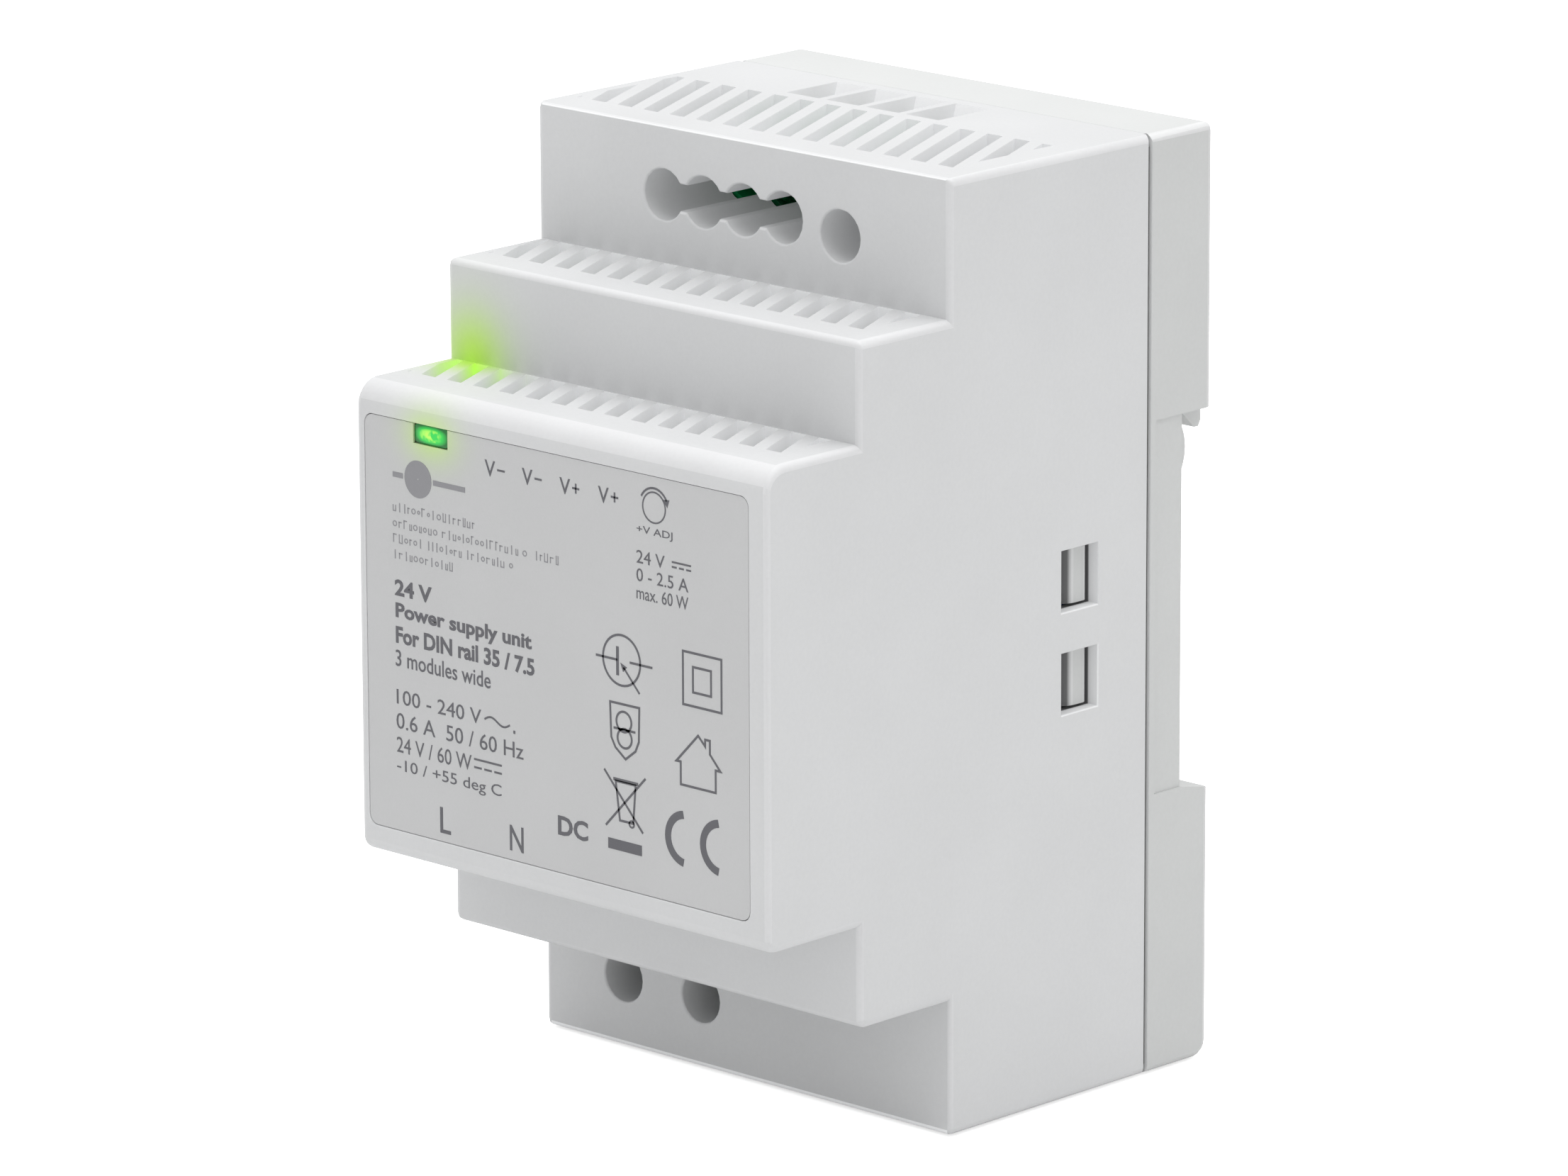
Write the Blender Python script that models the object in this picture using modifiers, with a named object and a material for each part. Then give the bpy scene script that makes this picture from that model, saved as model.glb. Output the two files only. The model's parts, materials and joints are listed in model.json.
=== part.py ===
"""DIN rail power supply, built as the assembly it is on the bench.

Sizes are in millimetres and the helpers turn them into metres.
X runs to the right, Y to the rear, Z up. The origin is the centre of the seat
that rests on the rail's front flanges, so the front of the case is at -Y.
"""

import math

import bmesh
import bpy
from mathutils import Matrix, Vector

MM = 0.001

# ---------------------------------------------------------------- driving sizes
WIDTH = 52.5                  # three modules of 17.5
HEIGHT = 90.0
NOSE_HEIGHT = 45.0            # the part that shows through a distribution board's cover
MID_HEIGHT = 64.0
NOSE_Y = -55.8                # front faces of the three steps, ahead of the rail seat
MID_Y = -43.8
STEP_Y = -31.8
SPLIT_Y = -4.8                # the joint between front housing and rear base
SEAT_Y = 0.0
REAR_Y = 4.0
RAIL_HEIGHT = 35.0
RAIL_THICKNESS = 1.0
RAIL_CLEARANCE = 0.45         # between each edge of the rail and its channel
WALL = 2.0

# ---------------------------------------------------------------- clearances
GAP = 0.3                     # between pieces that touch or are cut by each other
SPLIT_GAP = 0.35
PIPE_GAP = 0.15
LONG = 6.0                    # how far a cutter runs past the wall it opens

# ---------------------------------------------------------------- case details
NOSE_TOP_RADIUS = 2.4
NOSE_BOTTOM_RADIUS = 1.2
BASE_REAR_RADIUS = 1.6
LABEL_LEFT, LABEL_RIGHT = 0.97, 2.35   # margins from the sides of the nose
LABEL_TOP, LABEL_BOTTOM = 3.0, 2.64
LABEL_RADIUS = 1.0
RECESS_DEPTH = 0.6
LABEL_THICKNESS = 0.22
LAMP_LEFT, LAMP_WIDTH, LAMP_HEIGHT = 6.55, 4.29, 1.9   # window in the label's top edge

SLOT_PITCH = 3.39
SLOT_WIDTH = 1.85             # measured along X
SLOT_SKEW = -0.46             # X per unit of Y
SLOT_START = 3.2              # first whole slot's corner, from the left side
SLOT_LEFT_MARGIN = 1.3
SLOT_RIGHT_MARGIN = 1.2
SLOT_TOP_FRONT, SLOT_TOP_LENGTH = 3.9, 13.4
SLOT_MID_FRONT = 4.0
SLOT_NOSE_FRONT = 5.3
SLOT_END_GAP = 0.15

WINDOW_FRONT, WINDOW_LENGTH = 15.05, 5.0     # snap windows, behind the step's front face
WINDOW_LOW, WINDOW_HIGH = 1.95, 7.8
SNAP_RECESS = 1.05            # from the side wall's outer face to the snap's crown
SNAP_CORNER = 0.6             # radius at the snap nose's rear
SNAP_FLAT = 0.8               # straight part of its crown
SNAP_SWEEP = 2.0              # length of its rounded front
RIM_WALL = 1.2
RIM_HEIGHT = 2.4

BORE_RADIUS = 2.45            # screwdriver holes
NECK_HEIGHT = 2.55
TUBE_WALL = 1.2
FUNNEL_WIDTH, FUNNEL_LENGTH = 4.15, 6.9
FUNNEL_INNER_WIDTH, FUNNEL_INNER_LENGTH = 3.1, 4.4
FUNNEL_Y = -9.6

# ---------------------------------------------------------------- rail side
CHANNEL_HALF = RAIL_HEIGHT / 2 + RAIL_CLEARANCE
CHANNEL_DROP = 0.8            # the lower block falls away towards the rear
LIP_DROP = 2.05
LIP_INSET = 1.4
TONGUE_LOW, TONGUE_HIGH, TONGUE_RISE = 12.2, 17.0, 0.7
TONGUE_INNER = 17.0
SIDE_RELIEF = 0.2
FLOOR = 2.2                   # wall under the rail seat

LATCH_HALF = 6.0              # half its width
LATCH_WING = 2.0              # how far a wing reaches out on each side
LATCH_WING_THICKNESS = 1.5
LATCH_WING_LOW = 6.6          # lower end of the wings, above the latch's foot
LATCH_TRAVEL = 4.0
LATCH_OVERLAP = 2.3           # how far its tip reaches behind the rail
LATCH_SLOPE = 1.2             # lead-in height on the tip
LATCH_BOTTOM_GAP = 0.4
LATCH_FLOOR = 0.6             # front face of its guide, behind the rail seat
GUIDE_TOP = 1.75              # top of the guide, below the channel
POST_LOW, POST_HEIGHT, POST_WIDTH = 11.8, 1.5, 3.0    # spring post, from the foot up
SPRING_HOLE_WIDTH = 3.8
SPRING_SQUEEZED = 3.2         # room left for the spring at full travel
SPRING_TURNS, SPRING_WIRE, SPRING_MEAN = 5, 0.17, 0.95
PULL_HOLE = (4.4, 2.2, 2.0)   # screwdriver slot: width, height above the foot, height

# ---------------------------------------------------------------- board and terminals
BOARD_THICKNESS = 1.6
BOARD_REAR_Y = -3.0
OUTPUT_POLES, OUTPUT_PITCH = 4, 5.08
OUTPUT_X, OUTPUT_DROP = -2.33, 6.6     # row's centre, and its depth below the top
INPUT_POLES, INPUT_PITCH = 2, 10.17
INPUT_X, INPUT_DROP = -10.87, 6.85
TRIMMER_OFFSET, TRIMMER_DROP = 7.21, 7.25      # to the right of the last output pole
TERMINAL_DEPTH = 15.7
TERMINAL_HEIGHT = 9.0
TERMINAL_FRONT_WALL = 6.2     # depth of the well in front of each screw
MOST_POLE_WIDTH = 8.6         # a body takes no more than this for each pole
CELL_WALL = 0.98              # between one pole's cell and the next
CELL_HEIGHT = 5.6
CAGE_HEIGHT, CAGE_SIDE = 4.4, 0.55
CAGE_FRONT, CAGE_REAR = 1.2, 0.8               # thickness of its two bars
WIRE_SPACE = 2.6              # between the contact bar and the open cage
CONTACT_THICKNESS = 0.7
CLAMP_TRAVEL = 2.0
SCREW_HEAD_HEIGHT = 1.6
HEAD_CLEARANCE = 0.6          # between a screw's head and its screwdriver hole
WELL_WALL = 0.7               # least wall between two screw wells
SCREW_RADIUS = 1.0
SCREW_SLOT_WIDTH, SCREW_SLOT_DEPTH = 0.7, 0.8

TRIMMER_SIZE, TRIMMER_REACH = 6.6, 6.3         # square body, and rotor's height off the board
ROTOR_RADIUS, ROTOR_LENGTH = 2.2, 2.5
LED_RADIUS, LED_LENGTH = 1.5, 7.0

half_width = WIDTH / 2
half_height = HEIGHT / 2
board_face = BOARD_REAR_Y - BOARD_THICKNESS
part_foot = board_face - GAP
rim_outer = half_width - WALL - GAP
rim_inner = rim_outer - RIM_WALL
rim_top = half_height - WALL - GAP
rim_top_inner = rim_top - RIM_WALL
output_z = half_height - OUTPUT_DROP
input_z = INPUT_DROP - half_height
trimmer_z = half_height - TRIMMER_DROP
screw_head_radius = min(BORE_RADIUS - HEAD_CLEARANCE, (OUTPUT_PITCH - WELL_WALL) / 2 - GAP)
cell_width = OUTPUT_PITCH - CELL_WALL
cage_width = cell_width - 2 * GAP
lamp_x = LAMP_LEFT + LABEL_LEFT - half_width + LAMP_WIDTH / 2
label_top = NOSE_HEIGHT / 2 - LABEL_TOP
lamp_z = label_top - LAMP_HEIGHT / 2


# ---------------------------------------------------------------- helpers
def clear_scene():
    for item in list(bpy.data.objects):
        bpy.data.objects.remove(item, do_unlink=True)


def new_collection(name):
    made = bpy.data.collections.new(name)
    bpy.context.scene.collection.children.link(made)
    return made


def add_object(name, mesh, collection=None):
    item = bpy.data.objects.new(name, mesh)
    (collection or parts).objects.link(item)
    return item


def mesh_object(name, shape, collection=None):
    """Takes a bmesh in millimetres and leaves an object in metres."""
    bmesh.ops.scale(shape, vec=(MM, MM, MM), verts=shape.verts)
    mesh = bpy.data.meshes.new(name)
    shape.to_mesh(mesh)
    shape.free()
    return add_object(name, mesh, collection)


def box(name, x, y, z, collection=None):
    """A block between the pairs x, y and z."""
    shape = bmesh.new()
    bmesh.ops.create_cube(shape, size=1.0)
    size = Vector((x[1] - x[0], y[1] - y[0], z[1] - z[0]))
    middle = Vector((x[1] + x[0], y[1] + y[0], z[1] + z[0])) / 2
    bmesh.ops.scale(shape, vec=size, verts=shape.verts)
    bmesh.ops.translate(shape, vec=middle, verts=shape.verts)
    return mesh_object(name, shape, collection)


TURNS = {
    "X": Matrix(((0, 0, 1), (1, 0, 0), (0, 1, 0))).to_4x4(),
    "Y": Matrix(((1, 0, 0), (0, 0, -1), (0, 1, 0))).to_4x4(),
    "Z": Matrix.Identity(4),
}


def rod(name, axis, centre, radius, span, sides=24, collection=None, end_radius=None):
    """A cylinder along an axis, or a cone frustum; centre is its place across the axis."""
    shape = bmesh.new()
    last = radius if end_radius is None else end_radius
    low, high = min(span), max(span)
    bmesh.ops.create_cone(shape, cap_ends=True, segments=sides, radius1=radius,
                          radius2=last, depth=high - low)
    along = (low + high) / 2
    if axis == "Y":
        along = -along
    bmesh.ops.translate(shape, vec=(centre[0], centre[1], along), verts=shape.verts)
    bmesh.ops.transform(shape, matrix=TURNS[axis], verts=shape.verts)
    return mesh_object(name, shape, collection)


def plate(name, axis, outlines, span, collection=None):
    """Flat outlines, the later ones holes, thickened along an axis from a 2D curve.

    Across X an outline holds (y, z) points, across Y (x, z) points, across Z (x, y).
    """
    curve = bpy.data.curves.new(name, "CURVE")
    curve.dimensions = "2D"
    curve.fill_mode = "BOTH"
    curve.extrude = abs(span[1] - span[0]) / 2 * MM
    for outline in outlines:
        spline = curve.splines.new("POLY")
        spline.points.add(len(outline) - 1)
        for point, (u, v) in zip(spline.points, outline):
            point.co = (u * MM, v * MM, 0.0, 1.0)
        spline.use_cyclic_u = True
    source = add_object(name + "_outline", curve, cutters)
    bpy.context.view_layer.update()
    graph = bpy.context.evaluated_depsgraph_get()
    mesh = bpy.data.meshes.new_from_object(source.evaluated_get(graph))
    bpy.data.objects.remove(source, do_unlink=True)
    shape = bmesh.new()
    shape.from_mesh(mesh)
    bmesh.ops.remove_doubles(shape, verts=shape.verts, dist=0.000002)
    middle = (span[0] + span[1]) / 2 * MM
    bmesh.ops.transform(shape, matrix=TURNS[axis], verts=shape.verts)
    shift = Vector([middle if axis == a else 0.0 for a in "XYZ"])
    bmesh.ops.translate(shape, vec=shift, verts=shape.verts)
    bmesh.ops.recalc_face_normals(shape, faces=shape.faces)
    shape.to_mesh(mesh)
    shape.free()
    mesh.name = name
    return add_object(name, mesh, collection)


def arc(centre, radius, start, end, steps):
    """Points on a circle from one angle to another, in degrees."""
    angles = [math.radians(start + (end - start) * i / steps) for i in range(steps + 1)]
    return [(centre[0] + radius * math.cos(a), centre[1] + radius * math.sin(a)) for a in angles]


def rounded(u, v, radius, steps=4):
    """A rectangle between the pairs u and v, with round corners."""
    corners = ((u[1], v[1], 0), (u[0], v[1], 90), (u[0], v[0], 180), (u[1], v[0], 270))
    points = []
    for a, b, turn in corners:
        inward = (a - math.copysign(radius, a - sum(u) / 2), b - math.copysign(radius, b - sum(v) / 2))
        points += arc(inward, radius, turn, turn + 90, steps)
    return points


def around(middle, size):
    return (middle - size / 2, middle + size / 2)


def joined(name, items):
    """Separate bodies put in one mesh, for one cutter or one node of loose pieces."""
    shape = bmesh.new()
    for item in items:
        shape.from_mesh(item.data)
    keeper = items[0]
    shape.to_mesh(keeper.data)
    shape.free()
    for item in items[1:]:
        bpy.data.objects.remove(item, do_unlink=True)
    keeper.name = name
    return keeper


def boolean(target, tool, operation):
    modifier = target.modifiers.new(operation.lower(), "BOOLEAN")
    modifier.object = tool
    modifier.operation = operation
    modifier.solver = "EXACT"
    tool.hide_render = True
    tool.display_type = "WIRE"


def cut(target, *tools):
    for tool in tools:
        boolean(target, tool, "DIFFERENCE")


def unite(target, *tools):
    for tool in tools:
        boolean(target, tool, "UNION")


def soften(item, width, segments=2, angle=30):
    modifier = item.modifiers.new("edges", "BEVEL")
    modifier.width = width * MM
    modifier.segments = segments
    modifier.angle_limit = math.radians(angle)


def set_origin(item, point):
    """Moves an object's origin to a point on its joint's axis, leaving the shape in place."""
    place = Vector(point) * MM
    item.data.transform(Matrix.Translation(-place))
    item.location = place


materials = {}


def finish(item, name):
    item.data.materials.clear()
    item.data.materials.append(materials[name])
    item.data.shade_smooth()
    item.data.set_sharp_from_angle(angle=math.radians(35))
    return item


def make_material(name, colour, roughness, metallic=0.0):
    made = bpy.data.materials.new(name)
    made.use_nodes = True
    shader = made.node_tree.nodes["Principled BSDF"]
    shader.inputs["Base Color"].default_value = (*colour, 1.0)
    shader.inputs["Roughness"].default_value = roughness
    shader.inputs["Metallic"].default_value = metallic
    materials[name] = made


def make_materials():
    make_material("case_plastic", (0.66, 0.66, 0.67), 0.55)
    make_material("base_plastic", (0.62, 0.63, 0.62), 0.58)
    make_material("latch_plastic", (0.10, 0.10, 0.11), 0.5)
    make_material("label_film", (0.56, 0.56, 0.56), 0.45)
    make_material("lamp_lens", (0.05, 0.45, 0.04), 0.12)
    make_material("terminal_plastic", (0.01, 0.16, 0.07), 0.35)
    make_material("board_laminate", (0.02, 0.20, 0.08), 0.45)
    make_material("zinc_steel", (0.72, 0.72, 0.70), 0.3, 1.0)
    make_material("tinned_brass", (0.75, 0.70, 0.58), 0.3, 1.0)
    make_material("trimmer_blue", (0.05, 0.14, 0.45), 0.4)
    make_material("rotor_white", (0.80, 0.79, 0.74), 0.4)
    make_material("ferrite", (0.07, 0.07, 0.075), 0.5)
    make_material("winding_tape", (0.80, 0.60, 0.12), 0.4)
    make_material("copper_wire", (0.62, 0.27, 0.12), 0.3, 1.0)
    make_material("capacitor_sleeve", (0.03, 0.03, 0.05), 0.35)
    make_material("film_box", (0.75, 0.55, 0.08), 0.4)
    make_material("ceramic_disc", (0.10, 0.22, 0.50), 0.4)
    make_material("black_epoxy", (0.03, 0.03, 0.03), 0.5)
    make_material("heatsink_aluminium", (0.70, 0.71, 0.72), 0.35, 1.0)


# ---------------------------------------------------------------- case outlines
def case_profile():
    """Side view of the stepped case, as (y, z) points."""
    nose, mid = NOSE_HEIGHT / 2, MID_HEIGHT / 2
    rear = SPLIT_Y - SPLIT_GAP / 2
    top = arc((NOSE_Y + NOSE_TOP_RADIUS, nose - NOSE_TOP_RADIUS), NOSE_TOP_RADIUS, 180, 90, 6)
    bottom = arc((NOSE_Y + NOSE_BOTTOM_RADIUS, NOSE_BOTTOM_RADIUS - nose), NOSE_BOTTOM_RADIUS, 270, 180, 4)
    upper = [(MID_Y, nose), (MID_Y, mid), (STEP_Y, mid), (STEP_Y, half_height), (rear, half_height)]
    lower = [(y, -z) for y, z in reversed(upper)]
    return top + upper + lower + bottom


def cavity_profile():
    """The same steps, one wall further in, running out through the open rear."""
    nose, mid, top = NOSE_HEIGHT / 2 - WALL, MID_HEIGHT / 2 - WALL, half_height - WALL
    upper = [(NOSE_Y + WALL, nose), (MID_Y + WALL, nose), (MID_Y + WALL, mid), (STEP_Y + WALL, mid),
             (STEP_Y + WALL, top), (SPLIT_Y + LONG, top)]
    return upper + [(y, -z) for y, z in reversed(upper)]


def scallops(centre_x, centre_z, radius, neck, pitch, count):
    """Round holes in a row, joined by a lower neck: one outline of arcs."""
    touch = math.acos(min(1.0, pitch / 2 / radius))
    meet = math.degrees(max(math.asin(neck / 2 / radius), touch))
    first = centre_x - pitch * (count - 1) / 2
    points = []
    for i in reversed(range(count)):
        start = 0 if i == count - 1 else meet
        end = 180 if i == 0 else 180 - meet
        points += arc((first + pitch * i, centre_z), radius, start, end, 8)
    for i in range(count):
        start = 180 if i == 0 else 180 + meet
        end = 360 if i == count - 1 else 360 - meet
        points += arc((first + pitch * i, centre_z), radius, start, end, 8)
    return list(dict.fromkeys((round(u, 6), round(v, 6)) for u, v in points))


def clip(points, limit, keep):
    """The part of an outline on one side of the line x = limit; keep is +1 or -1."""
    out = []
    for a, b in zip(points, points[1:] + points[:1]):
        inside_a = keep * (a[0] - limit) >= 0
        inside_b = keep * (b[0] - limit) >= 0
        if inside_a:
            out.append(a)
        if inside_a != inside_b:
            share = (limit - a[0]) / (b[0] - a[0])
            out.append((limit, a[1] + share * (b[1] - a[1])))
    return out


def slot_outlines(front, rear):
    """Slanted slots between two Y values, cut off by one straight margin on each side."""
    start = SLOT_START - half_width
    left = SLOT_LEFT_MARGIN - half_width
    last = int((half_width - SLOT_RIGHT_MARGIN - SLOT_WIDTH - start) / SLOT_PITCH)
    right = start + SLOT_PITCH * last + SLOT_WIDTH
    shift = SLOT_SKEW * (rear - front)
    outlines = []
    for i in range(-1, last + 3):
        x = start + SLOT_PITCH * i
        slot = [(x, front), (x + SLOT_WIDTH, front), (x + SLOT_WIDTH + shift, rear), (x + shift, rear)]
        slot = clip(clip(slot, left, 1), right, -1)
        width = max((u for u, v in slot), default=0) - min((u for u, v in slot), default=0)
        if width > GAP:
            outlines.append(slot)
    return outlines


def funnel(name, x, y, side):
    """Wire entry: a square mouth at the top or bottom face that narrows through the wall."""
    shape = bmesh.new()
    bmesh.ops.create_cube(shape, size=1.0)
    inner = half_height - WALL
    slope_x = (FUNNEL_WIDTH - FUNNEL_INNER_WIDTH) / WALL
    slope_y = (FUNNEL_LENGTH - FUNNEL_INNER_LENGTH) / WALL
    for vert in shape.verts:
        height = half_height + GAP if vert.co.z > 0 else inner - GAP
        depth = height - inner
        vert.co.x = x + vert.co.x * (FUNNEL_INNER_WIDTH + slope_x * depth)
        vert.co.y = y + vert.co.y * (FUNNEL_INNER_LENGTH + slope_y * depth)
        vert.co.z = side * height
    if side < 0:
        bmesh.ops.reverse_faces(shape, faces=shape.faces)
    return mesh_object(name, shape, cutters)


def pole_places(centre, pitch, count):
    return [centre + pitch * (i - (count - 1) / 2) for i in range(count)]


output_poles = pole_places(OUTPUT_X, OUTPUT_PITCH, OUTPUT_POLES)
input_poles = pole_places(INPUT_X, INPUT_PITCH, INPUT_POLES)
terminal_front = part_foot - TERMINAL_DEPTH
trimmer_x = output_poles[-1] + TRIMMER_OFFSET
trimmer_front = part_foot - TRIMMER_REACH


# ---------------------------------------------------------------- front housing
def make_front_housing():
    sides = (-half_width, half_width)
    housing = plate("front_housing", "X", [case_profile()], sides)
    cut(housing, plate("cavity", "X", [cavity_profile()], (WALL - half_width, half_width - WALL), cutters))

    tube_radius = BORE_RADIUS + TUBE_WALL
    tube_front = STEP_Y + WALL / 2
    shroud = rounded((output_poles[0] - tube_radius, output_poles[-1] + tube_radius),
                     around(output_z, 2 * tube_radius), tube_radius - GAP)
    unite(housing, plate("output_shroud", "Y", [shroud], (tube_front, terminal_front - GAP), cutters))
    unite(housing, rod("trimmer_tube", "Y", (trimmer_x, trimmer_z), tube_radius,
                       (tube_front, trimmer_front - GAP), 24, cutters))
    tubes = [rod("input_tube", "Y", (x, input_z), tube_radius, (tube_front, terminal_front - GAP), 24, cutters)
             for x in input_poles]
    unite(housing, joined("input_tubes", tubes))

    label_x = (LABEL_LEFT - half_width, half_width - LABEL_RIGHT)
    label_z = (LABEL_BOTTOM - NOSE_HEIGHT / 2, label_top)
    cut(housing, plate("label_recess", "Y", [rounded(label_x, label_z, LABEL_RADIUS)],
                       (NOSE_Y - LONG, NOSE_Y + RECESS_DEPTH), cutters))
    cut(housing, box("lamp_window", around(lamp_x, LAMP_WIDTH), (NOSE_Y - LONG, NOSE_Y + LONG),
                     around(lamp_z, LAMP_HEIGHT), cutters))

    deep = (STEP_Y - LONG, trimmer_front + LONG)
    holes = [plate("output_holes", "Y", [scallops(OUTPUT_X, output_z, BORE_RADIUS, NECK_HEIGHT,
                                                  OUTPUT_PITCH, OUTPUT_POLES)], deep, cutters),
             rod("trimmer_hole", "Y", (trimmer_x, trimmer_z), BORE_RADIUS, deep, 24, cutters)]
    holes += [rod("input_hole", "Y", (x, input_z), BORE_RADIUS, deep, 24, cutters) for x in input_poles]
    cut(housing, joined("screwdriver_holes", holes))

    entries = [funnel("entry", x, FUNNEL_Y, 1) for x in output_poles]
    entries += [funnel("entry", x, FUNNEL_Y, -1) for x in input_poles]
    cut(housing, joined("wire_entries", entries))

    levels = ((NOSE_HEIGHT / 2, NOSE_Y + SLOT_NOSE_FRONT, MID_Y - SLOT_END_GAP),
              (MID_HEIGHT / 2, MID_Y + SLOT_MID_FRONT, STEP_Y - SLOT_END_GAP),
              (half_height, STEP_Y + SLOT_TOP_FRONT, STEP_Y + SLOT_TOP_FRONT + SLOT_TOP_LENGTH))
    slots = []
    for height, front, rear in levels:
        for outline in slot_outlines(front, rear):
            for side in (1, -1):
                span = (side * (height - WALL - GAP), side * (height + GAP))
                slots.append(plate("slot", "Z", [outline], span, cutters))
    cut(housing, joined("vent_slots", slots))

    window_y = (STEP_Y + WINDOW_FRONT, STEP_Y + WINDOW_FRONT + WINDOW_LENGTH)
    windows = []
    for side in (1, -1):
        for z in ((WINDOW_LOW, WINDOW_HIGH), (-WINDOW_HIGH, -WINDOW_LOW)):
            x = sorted((side * (half_width - WALL - GAP), side * (half_width + GAP)))
            windows.append(box("window", x, window_y, z, cutters))
    cut(housing, joined("snap_windows", windows))
    return finish(housing, "case_plastic")


# ---------------------------------------------------------------- rear base
def base_profile():
    """Side view of the base: two blocks with the rail channel between them."""
    front = SPLIT_Y + SPLIT_GAP / 2
    r = BASE_REAR_RADIUS
    top = arc((REAR_Y - r / 2, half_height - r / 2), r / 2, 90, 0, 3)
    bottom = arc((REAR_Y - r, r - half_height), r, 0, -90, 4)
    channel = [(REAR_Y, CHANNEL_HALF), (SEAT_Y, CHANNEL_HALF), (SEAT_Y, -CHANNEL_HALF),
               (REAR_Y, -CHANNEL_HALF - CHANNEL_DROP)]
    return [(front, half_height)] + top + channel + bottom + [(front, -half_height)]


latch_floor = SEAT_Y + LATCH_FLOOR
latch_front = latch_floor + GAP
latch_rear = REAR_Y - GAP
latch_low = LATCH_BOTTOM_GAP - half_height
wing_half = LATCH_HALF + LATCH_WING
guide_top = -CHANNEL_HALF - GUIDE_TOP
latch_post = (POST_LOW - half_height, POST_LOW + POST_HEIGHT - half_height)
latch_hole = (latch_post[0] - GAP, latch_post[1] + LATCH_TRAVEL + SPRING_SQUEEZED)


def snap_profile():
    """Seen from above: a leaf with a rounded nose that springs out into its window."""
    front = STEP_Y + WINDOW_FRONT
    rear = front + WINDOW_LENGTH - GAP
    crown = half_width - SNAP_RECESS
    swell = crown - rim_outer
    turn = rear - SNAP_CORNER - SNAP_FLAT
    nose = [(rim_outer, rear)]
    nose += arc((crown - SNAP_CORNER, rear - SNAP_CORNER), SNAP_CORNER, 90, 0, 3)
    nose += [(rim_outer + swell * math.cos(a), turn - SNAP_SWEEP * math.sin(a))
             for a in (math.radians(15 * i) for i in range(1, 7))]
    return nose + [(rim_inner, turn - SNAP_SWEEP), (rim_inner, SPLIT_Y - 1.0), (rim_outer, SPLIT_Y - 1.0)]


def make_rear_base():
    base = plate("rear_base", "X", [base_profile()], (-half_width, half_width))

    rim_front = SPLIT_Y - RIM_HEIGHT
    rim = box("rim", (-rim_outer, rim_outer), (rim_front, SPLIT_Y + 1.0), (-rim_top, rim_top), cutters)
    unite(base, rim)
    for side in (1, -1):
        for z in ((WINDOW_LOW + GAP, WINDOW_HIGH - GAP), (GAP - WINDOW_HIGH, -GAP - WINDOW_LOW)):
            outline = [(side * x, y) for x, y in snap_profile()]
            unite(base, plate("snap", "Z", [outline], z, cutters))

    lip = [(SEAT_Y + RAIL_THICKNESS, CHANNEL_HALF + 0.8), (SEAT_Y + RAIL_THICKNESS, CHANNEL_HALF - 0.1),
           (REAR_Y - 0.9, CHANNEL_HALF - LIP_DROP), (REAR_Y - 0.35, CHANNEL_HALF - LIP_DROP),
           (REAR_Y - 0.02, CHANNEL_HALF - LIP_DROP + 0.6), (REAR_Y - 0.02, CHANNEL_HALF + 0.8)]
    unite(base, plate("lip", "X", [lip], (LIP_INSET - half_width, half_width - LIP_INSET), cutters))

    chord = TONGUE_HIGH - TONGUE_LOW
    radius = chord ** 2 / (8 * TONGUE_RISE) + TONGUE_RISE / 2
    half_angle = math.degrees(math.asin(chord / 2 / radius))
    centre = (SEAT_Y + TONGUE_RISE - radius, (TONGUE_LOW + TONGUE_HIGH) / 2)
    bow = arc(centre, radius, -half_angle, half_angle, 8)
    bow += [(SEAT_Y - FLOOR / 2, TONGUE_HIGH), (SEAT_Y - FLOOR / 2, TONGUE_LOW)]
    tongue_outer = half_width - 2 * SIDE_RELIEF
    tongues = [plate("tongue", "X", [bow], sorted((side * TONGUE_INNER, side * tongue_outer)), cutters)
               for side in (1, -1)]
    unite(base, joined("tongues", tongues))

    open_front = rim_front - LONG
    block_low, block_high = CHANNEL_HALF + WALL, rim_top_inner
    inner = (-rim_inner, rim_inner)
    cut(base, box("upper_pocket", inner, (open_front, REAR_Y - WALL), (block_low, block_high), cutters))
    cut(base, box("rail_pocket", inner, (open_front, SEAT_Y - FLOOR), (-rim_top_inner, block_low + 1.0),
                  cutters))
    beside = wing_half + GAP + WALL
    pockets = [box("lower_pocket", sorted((side * beside, side * rim_inner)), (open_front, REAR_Y - WALL),
                   (-block_high, -block_low - CHANNEL_DROP), cutters) for side in (1, -1)]
    cut(base, joined("lower_pockets", pockets))

    reliefs = []
    for side in (1, -1):
        x = sorted((side * (half_width - SIDE_RELIEF), side * (half_width + LONG)))
        reliefs.append(box("relief", x, (SPLIT_Y + 1.0, SEAT_Y + GAP), (-CHANNEL_HALF, CHANNEL_HALF), cutters))
    cut(base, joined("side_reliefs", reliefs))

    slot_x = LATCH_HALF + GAP
    guide_rear = latch_front + LATCH_WING_THICKNESS + GAP
    cut(base, box("latch_guide", (-wing_half - GAP, wing_half + GAP), (latch_floor, guide_rear),
                  (-half_height - LONG, guide_top), cutters))
    cut(base, box("latch_opening", (-slot_x, slot_x), (latch_floor, REAR_Y + LONG),
                  (-half_height - LONG, -CHANNEL_HALF + 1.0), cutters))
    unite(base, box("spring_post", around(0, POST_WIDTH), (latch_floor - 1.0, latch_rear - GAP), latch_post,
                    cutters))

    rests = [box("rest", around(x, 2.0), (SEAT_Y - FLOOR - 0.5, SEAT_Y - FLOOR / 2), around(z, 2.0), cutters)
             for x in (-20.0, 20.0) for z in (-15.0, 15.0)]
    unite(base, joined("board_rests", rests))
    return finish(base, "base_plastic")


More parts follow.
